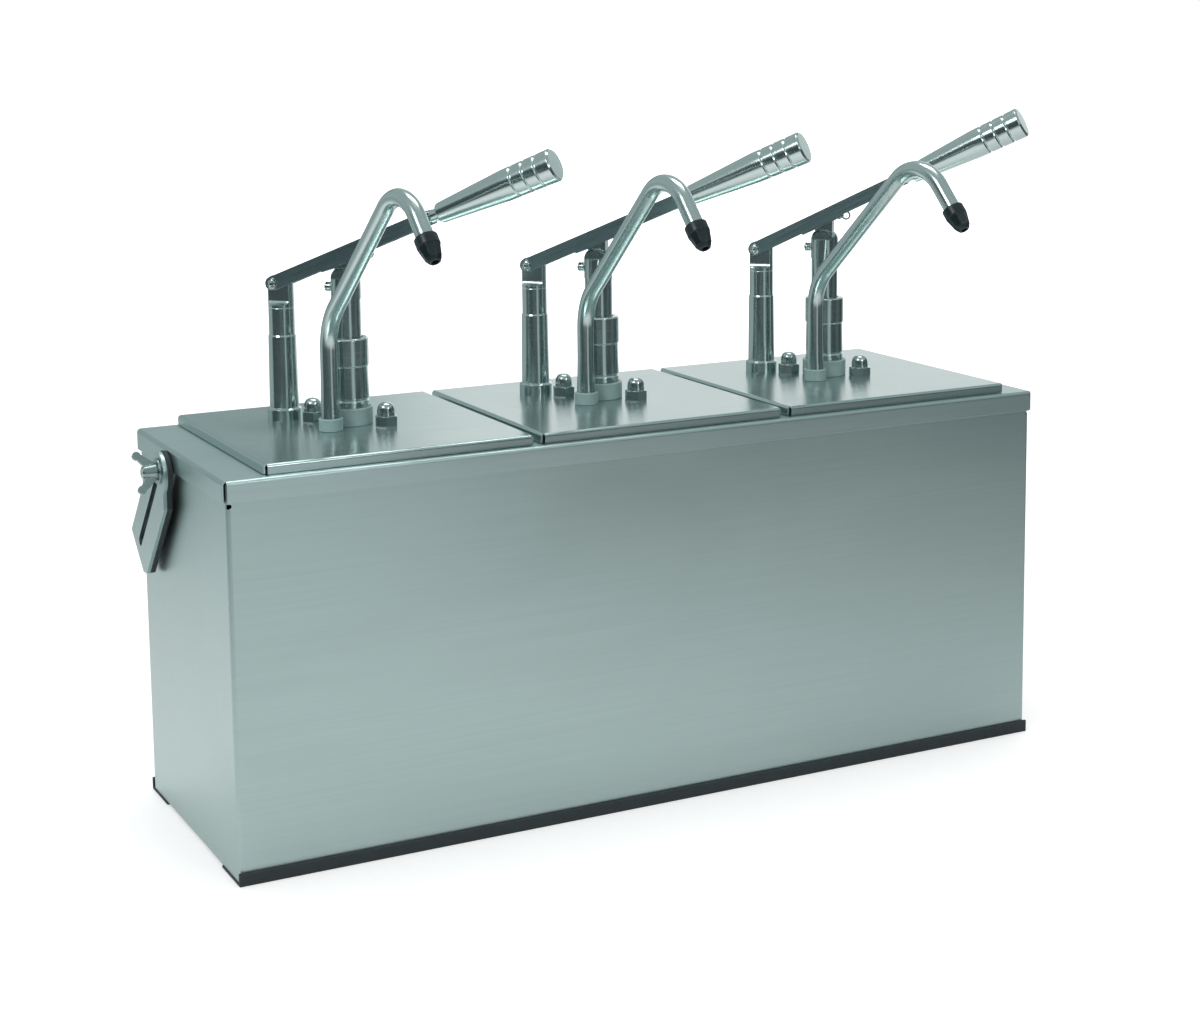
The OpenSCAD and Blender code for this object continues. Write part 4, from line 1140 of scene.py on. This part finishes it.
class STATION_OT_barrels(bpy.types.Operator):
    """Barrels and return springs under the lids"""

    bl_idname = "station.barrels"
    bl_label = "Barrels and springs"

    def execute(self, context):
        sizes = settings()[0]
        for side in SIDES:
            dress(side + "_barrel", "satin_steel")
            self.spring(side, sizes)
        return {"FINISHED"}

    def spring(self, side, sizes):
        """Winds the wire round the piston rod."""
        low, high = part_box(side + "_spring")
        wire = sizes.spring_wire_d / 2
        coil = (high.x - low.x) / 2 - wire
        length = high.z - low.z
        steps = sizes.spring_turns * sizes.spring_steps
        bm = bmesh.new()
        bmesh.ops.create_circle(
            bm, cap_ends=True, segments=sizes.spring_sides, radius=wire,
            matrix=Matrix.Translation((coil, 0, wire)) @ Matrix.Rotation(math.pi / 2, 4, "X"))
        made = bmesh.ops.spin(bm, geom=bm.verts[:] + bm.edges[:], cent=(0, 0, 0),
                              axis=(0, 0, 1), dvec=(0, 0, (length - 2 * wire) / steps),
                              steps=steps, angle=math.tau * sizes.spring_turns, use_merge=False,
                              use_normal_flip=False, use_duplicate=False)["geom_last"]
        bmesh.ops.contextual_create(bm, geom=only_edges(made))
        close_up(bm)
        middle = (low + high) / 2
        foot = (middle.x, middle.y, low.z)
        piece = finish_piece(bm, side + "_coil_spring", side + "_lid", "bright_steel",
                             Matrix.Translation(foot), [side + "_spring"])
        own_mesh(piece)


class STATION_OT_clamps(bpy.types.Operator):
    """Clamp plates, pads, washers, studs and wing nuts on both end walls"""

    bl_idname = "station.clamps"
    bl_label = "Clamps"

    def execute(self, context):
        sizes = settings()[0]
        sheet, milled, rubber = sizes.sheet_edge, sizes.soft_edge, sizes.rubber_edge
        rounded_copy("clamp_studs", "wall_studs", "base", "bright_steel", milled, least=40)
        for end in ENDS:
            for part, name, body, slot, edge, look in (
                    ("_clamp_plate", "_slotted_plate", "_clamp", "satin_steel", sheet, None),
                    ("_clamp_pad", "_rubber_pad", "_clamp", "black_rubber", rubber, None),
                    ("_washer", "_plain_washer", "_washer", "bright_steel", sheet,
                     "cast_steel"),
                    ("_wing_nut", "_cast_wing_nut", "_wing_nut", "bright_steel", milled,
                     "cast_steel")):
                rounded_copy(end + part, end + name, end + body, slot, edge, least=40, look=look)
        return {"FINISHED"}


# Stage

# Pale patches of the mirrored room: bearing in degrees, cosine of the angle to it where the
# patch begins and where it is full, and its level
PALE_PATCHES = ((-38, 0.76, 0.92, 0.46), (207, 0.90, 0.99, 0.12), (177, 0.970, 0.996, 0.48),
                (118, 0.94, 0.985, 0.16))
# Soft lights: name, place, what they point at, width, height, watts
SOFTBOXES = (
    ("left_softbox", (-1.9, -0.7, 1.9), (0.0, 0.1, 0.3), 1.0, 0.6, 14.0),
    ("top_softbox", (0.3, 0.5, 2.3), (0.0, 0.1, 0.2), 1.4, 0.6, 12.0),
    ("right_softbox", (0.5, -2.4, 1.5), (0.0, 0.1, 0.3), 0.5, 0.5, 5.0),
)


def room_colour(tree, level, stage):
    """Colour of the mirrored room for a level: white where it is bright, cooler where dim."""
    seen = ramp(tree, level, 0.0, 1.0, stage.dark_room, 1.0)
    warm = calc(tree, "ADD", calc(tree, "MULTIPLY", seen, stage.cool), 1.0 - stage.cool)
    return put(tree, "ShaderNodeCombineColor",
               {"Red": calc(tree, "MULTIPLY", seen, warm), "Green": seen,
                "Blue": calc(tree, "POWER", seen, 0.98)}).outputs[0]


def surroundings(tree, place):
    """Level of what polished steel mirrors near the horizon: pale behind, dark at the sides."""
    facing = vector(tree, "NORMALIZE", vector(tree, "MULTIPLY", place, (1.0, 1.0, 0.0)))

    def towards(degrees):
        """How far a direction points to a bearing, clockwise from +Y seen from above."""
        bearing = math.radians(degrees)
        return vector(tree, "DOT_PRODUCT", facing, (math.sin(bearing), math.cos(bearing), 0.0))

    # The backdrop ends about 60 degrees off its middle, and dims before that on both sides
    left = ramp(tree, towards(104), 0.08, 0.19, 0.36, 1.0)
    right = ramp(tree, towards(-40), -0.24, 0.15, 0.62, 1.0)
    backdrop = calc(tree, "MULTIPLY", ramp(tree, towards(22), 0.38, 0.78),
                    calc(tree, "MULTIPLY", left, right))
    for bearing, edge, middle, level in PALE_PATCHES:
        patch = calc(tree, "MULTIPLY", ramp(tree, towards(bearing), edge, middle), level)
        backdrop = calc(tree, "MAXIMUM", backdrop, patch)
    return backdrop


class STATION_OT_stage(bpy.types.Operator):
    """Pale floor, soft studio light, and the camera of the photograph"""

    bl_idname = "station.stage"
    bl_label = "Stage"

    def execute(self, context):
        stage = settings()[2]
        self.camera(stage)
        self.world(stage)
        self.floor(stage)
        self.lamps()
        context.scene.view_settings.view_transform = "Standard"
        return {"FINISHED"}

    def camera(self, stage):
        """The photograph's camera; its upward shift is kept small and made up for by a dip."""
        yaw, pitch, roll = stage.camera_yaw, stage.camera_pitch, stage.camera_roll
        ahead = Vector((math.sin(yaw) * math.cos(pitch), math.cos(yaw) * math.cos(pitch),
                        -math.sin(pitch)))
        level = Vector((math.cos(yaw), -math.sin(yaw), 0))
        up = level.cross(ahead)
        right = math.cos(roll) * level + math.sin(roll) * up
        above = math.cos(roll) * up - math.sin(roll) * level
        data = bpy.data.cameras.new("photo_camera")
        data.sensor_width = 36.0
        data.lens = stage.focal_pixels * data.sensor_width / PHOTO_WIDTH
        data.shift_y = (stage.centre_row - PHOTO_HEIGHT / 2) / PHOTO_WIDTH
        camera = bpy.data.objects.new("photo_camera", data)
        axes = Matrix((right, above, -ahead)).transposed().to_4x4()
        camera.matrix_world = Matrix.Translation(stage.camera_place) @ axes
        bpy.context.scene.collection.objects.link(camera)
        bpy.context.scene.camera = camera

    def world(self, stage):
        """Even light, white to the camera, and a room that only polished steel mirrors."""
        world = bpy.data.worlds.new("studio")
        bpy.context.scene.world = world
        world.use_nodes = True
        tree = world.node_tree
        tree.nodes.clear()
        facing = put(tree, "ShaderNodeTexCoord").outputs["Generated"]
        # A height is the sine of the elevation: backdrop, ceiling, and a light straight above
        height = put(tree, "ShaderNodeSeparateXYZ", {0: facing}).outputs[2]
        low = calc(tree, "MULTIPLY", surroundings(tree, facing), ramp(tree, height, 0.52, 0.36))
        overhead = calc(tree, "MULTIPLY", ramp(tree, height, 0.28, 0.42), 0.45)
        above = calc(tree, "MAXIMUM", overhead, ramp(tree, height, 0.93, 0.985, 0.0, 0.65))
        mirrored = room_colour(tree, calc(tree, "MAXIMUM", low, above), stage)
        path = put(tree, "ShaderNodeLightPath")
        shiny = calc(tree, "MAXIMUM", path.outputs["Is Glossy Ray"],
                     path.outputs["Is Transmission Ray"])
        seen = blend_colour(tree, shiny, [stage.sky] * 3 + [1.0], mirrored)
        seen = blend_colour(tree, path.outputs["Is Camera Ray"], seen, (1.0, 1.0, 1.0, 1.0))
        back = put(tree, "ShaderNodeBackground", {"Color": seen, "Strength": 1.0})
        out = put(tree, "ShaderNodeOutputWorld")
        tree.links.new(back.outputs[0], out.inputs["Surface"])

    def floor(self, stage):
        """A pale table round the object that keeps its shadow and mirrors as the room beyond."""
        bm = bmesh.new()
        bmesh.ops.create_grid(bm, x_segments=8, y_segments=8, size=12.0)
        mesh = bpy.data.meshes.new("floor")
        bm.to_mesh(mesh)
        bm.free()
        floor = bpy.data.objects.new("floor", mesh)
        bpy.context.scene.collection.objects.link(floor)
        material = bpy.data.materials.new("pale_floor")
        material.use_nodes = True
        tree = material.node_tree
        tree.nodes.clear()
        place = put(tree, "ShaderNodeTexCoord").outputs["Object"]
        far = vector(tree, "LENGTH", place)
        aside = vector(tree, "DISTANCE", place, (-0.22, -0.02, 0.0))
        slow = put(tree, "ShaderNodeMapRange",
                   {"Value": aside, "From Min": 0.30, "From Max": 1.5}).outputs["Result"]
        beyond = calc(tree, "MAXIMUM", calc(tree, "MULTIPLY", slow, 0.85),
                      ramp(tree, far, stage.table_r, 2.2 * stage.table_r))
        pale = [*stage.floor, 1.0]
        room = room_colour(tree, surroundings(tree, place), stage)
        path = put(tree, "ShaderNodeLightPath")
        mirrored = calc(tree, "MULTIPLY", beyond, path.outputs["Is Glossy Ray"])
        colour = blend_colour(tree, mirrored, pale, room)
        plain = put(tree, "ShaderNodeBsdfDiffuse", {"Color": colour, "Roughness": 0.0})
        lift = ramp(tree, far, 1.0, 3.0, stage.floor_lift, 1.0)
        glow = put(tree, "ShaderNodeEmission",
                   {"Color": (1.0, 1.0, 1.0, 1.0),
                    "Strength": calc(tree, "MULTIPLY", path.outputs["Is Camera Ray"], lift)})
        both = put(tree, "ShaderNodeAddShader")
        tree.links.new(plain.outputs[0], both.inputs[0])
        tree.links.new(glow.outputs[0], both.inputs[1])
        out = put(tree, "ShaderNodeOutputMaterial")
        tree.links.new(both.outputs[0], out.inputs["Surface"])
        mesh.materials.append(material)

    def lamps(self):
        for name, place, target, wide, high, watts in SOFTBOXES:
            data = bpy.data.lights.new(name, "AREA")
            data.shape = "RECTANGLE"
            data.size = wide
            data.size_y = high
            data.energy = watts
            lamp = bpy.data.objects.new(name, data)
            place = Vector(place)
            aim = (Vector(target) - place).to_track_quat("-Z", "Y").to_matrix().to_4x4()
            lamp.matrix_world = Matrix.Translation(place) @ aim
            lamp.visible_camera = False
            bpy.context.scene.collection.objects.link(lamp)


class STATION_PT_panel(bpy.types.Panel):
    """Lists the pieces and the settings in the sidebar"""

    bl_idname = "STATION_PT_panel"
    bl_label = "Sauce Station"
    bl_space_type = "VIEW_3D"
    bl_region_type = "UI"
    bl_category = "Sauce Station"

    def draw(self, context):
        layout = self.layout
        for operator in OPERATORS:
            layout.operator(operator.bl_idname)
        for title, group in (("Sizes", context.scene.station_sizes),
                             ("Looks", context.scene.station_looks),
                             ("Stage", context.scene.station_stage)):
            box = layout.box()
            box.label(text=title)
            for key in type(group).__annotations__:
                box.prop(group, key)


OPERATORS = (
    STATION_OT_stage, STATION_OT_housing, STATION_OT_foot_strips, STATION_OT_pans,
    STATION_OT_lids, STATION_OT_posts, STATION_OT_levers, STATION_OT_handles,
    STATION_OT_pistons, STATION_OT_pump_heads, STATION_OT_spouts, STATION_OT_barrels,
    STATION_OT_clamps,
)
GROUPS = {"station_sizes": StationSizes, "station_looks": StationLooks,
          "station_stage": StationStage}


def register():
    """Registers the settings, the operators and the panel."""
    for name, group in GROUPS.items():
        bpy.utils.register_class(group)
        setattr(bpy.types.Scene, name, PointerProperty(type=group))
    for kind in (*OPERATORS, STATION_PT_panel):
        bpy.utils.register_class(kind)


def unregister():
    """Takes everything that register added away again."""
    for kind in reversed((*OPERATORS, STATION_PT_panel)):
        bpy.utils.unregister_class(kind)
    for name, group in reversed(GROUPS.items()):
        delattr(bpy.types.Scene, name)
        bpy.utils.unregister_class(group)


def main():
    """Builds the stage and every piece."""
    register()
    for operator in OPERATORS:
        area, name = operator.bl_idname.split(".")
        getattr(getattr(bpy.ops, area), name)()


if __name__ == "__main__":
    main()
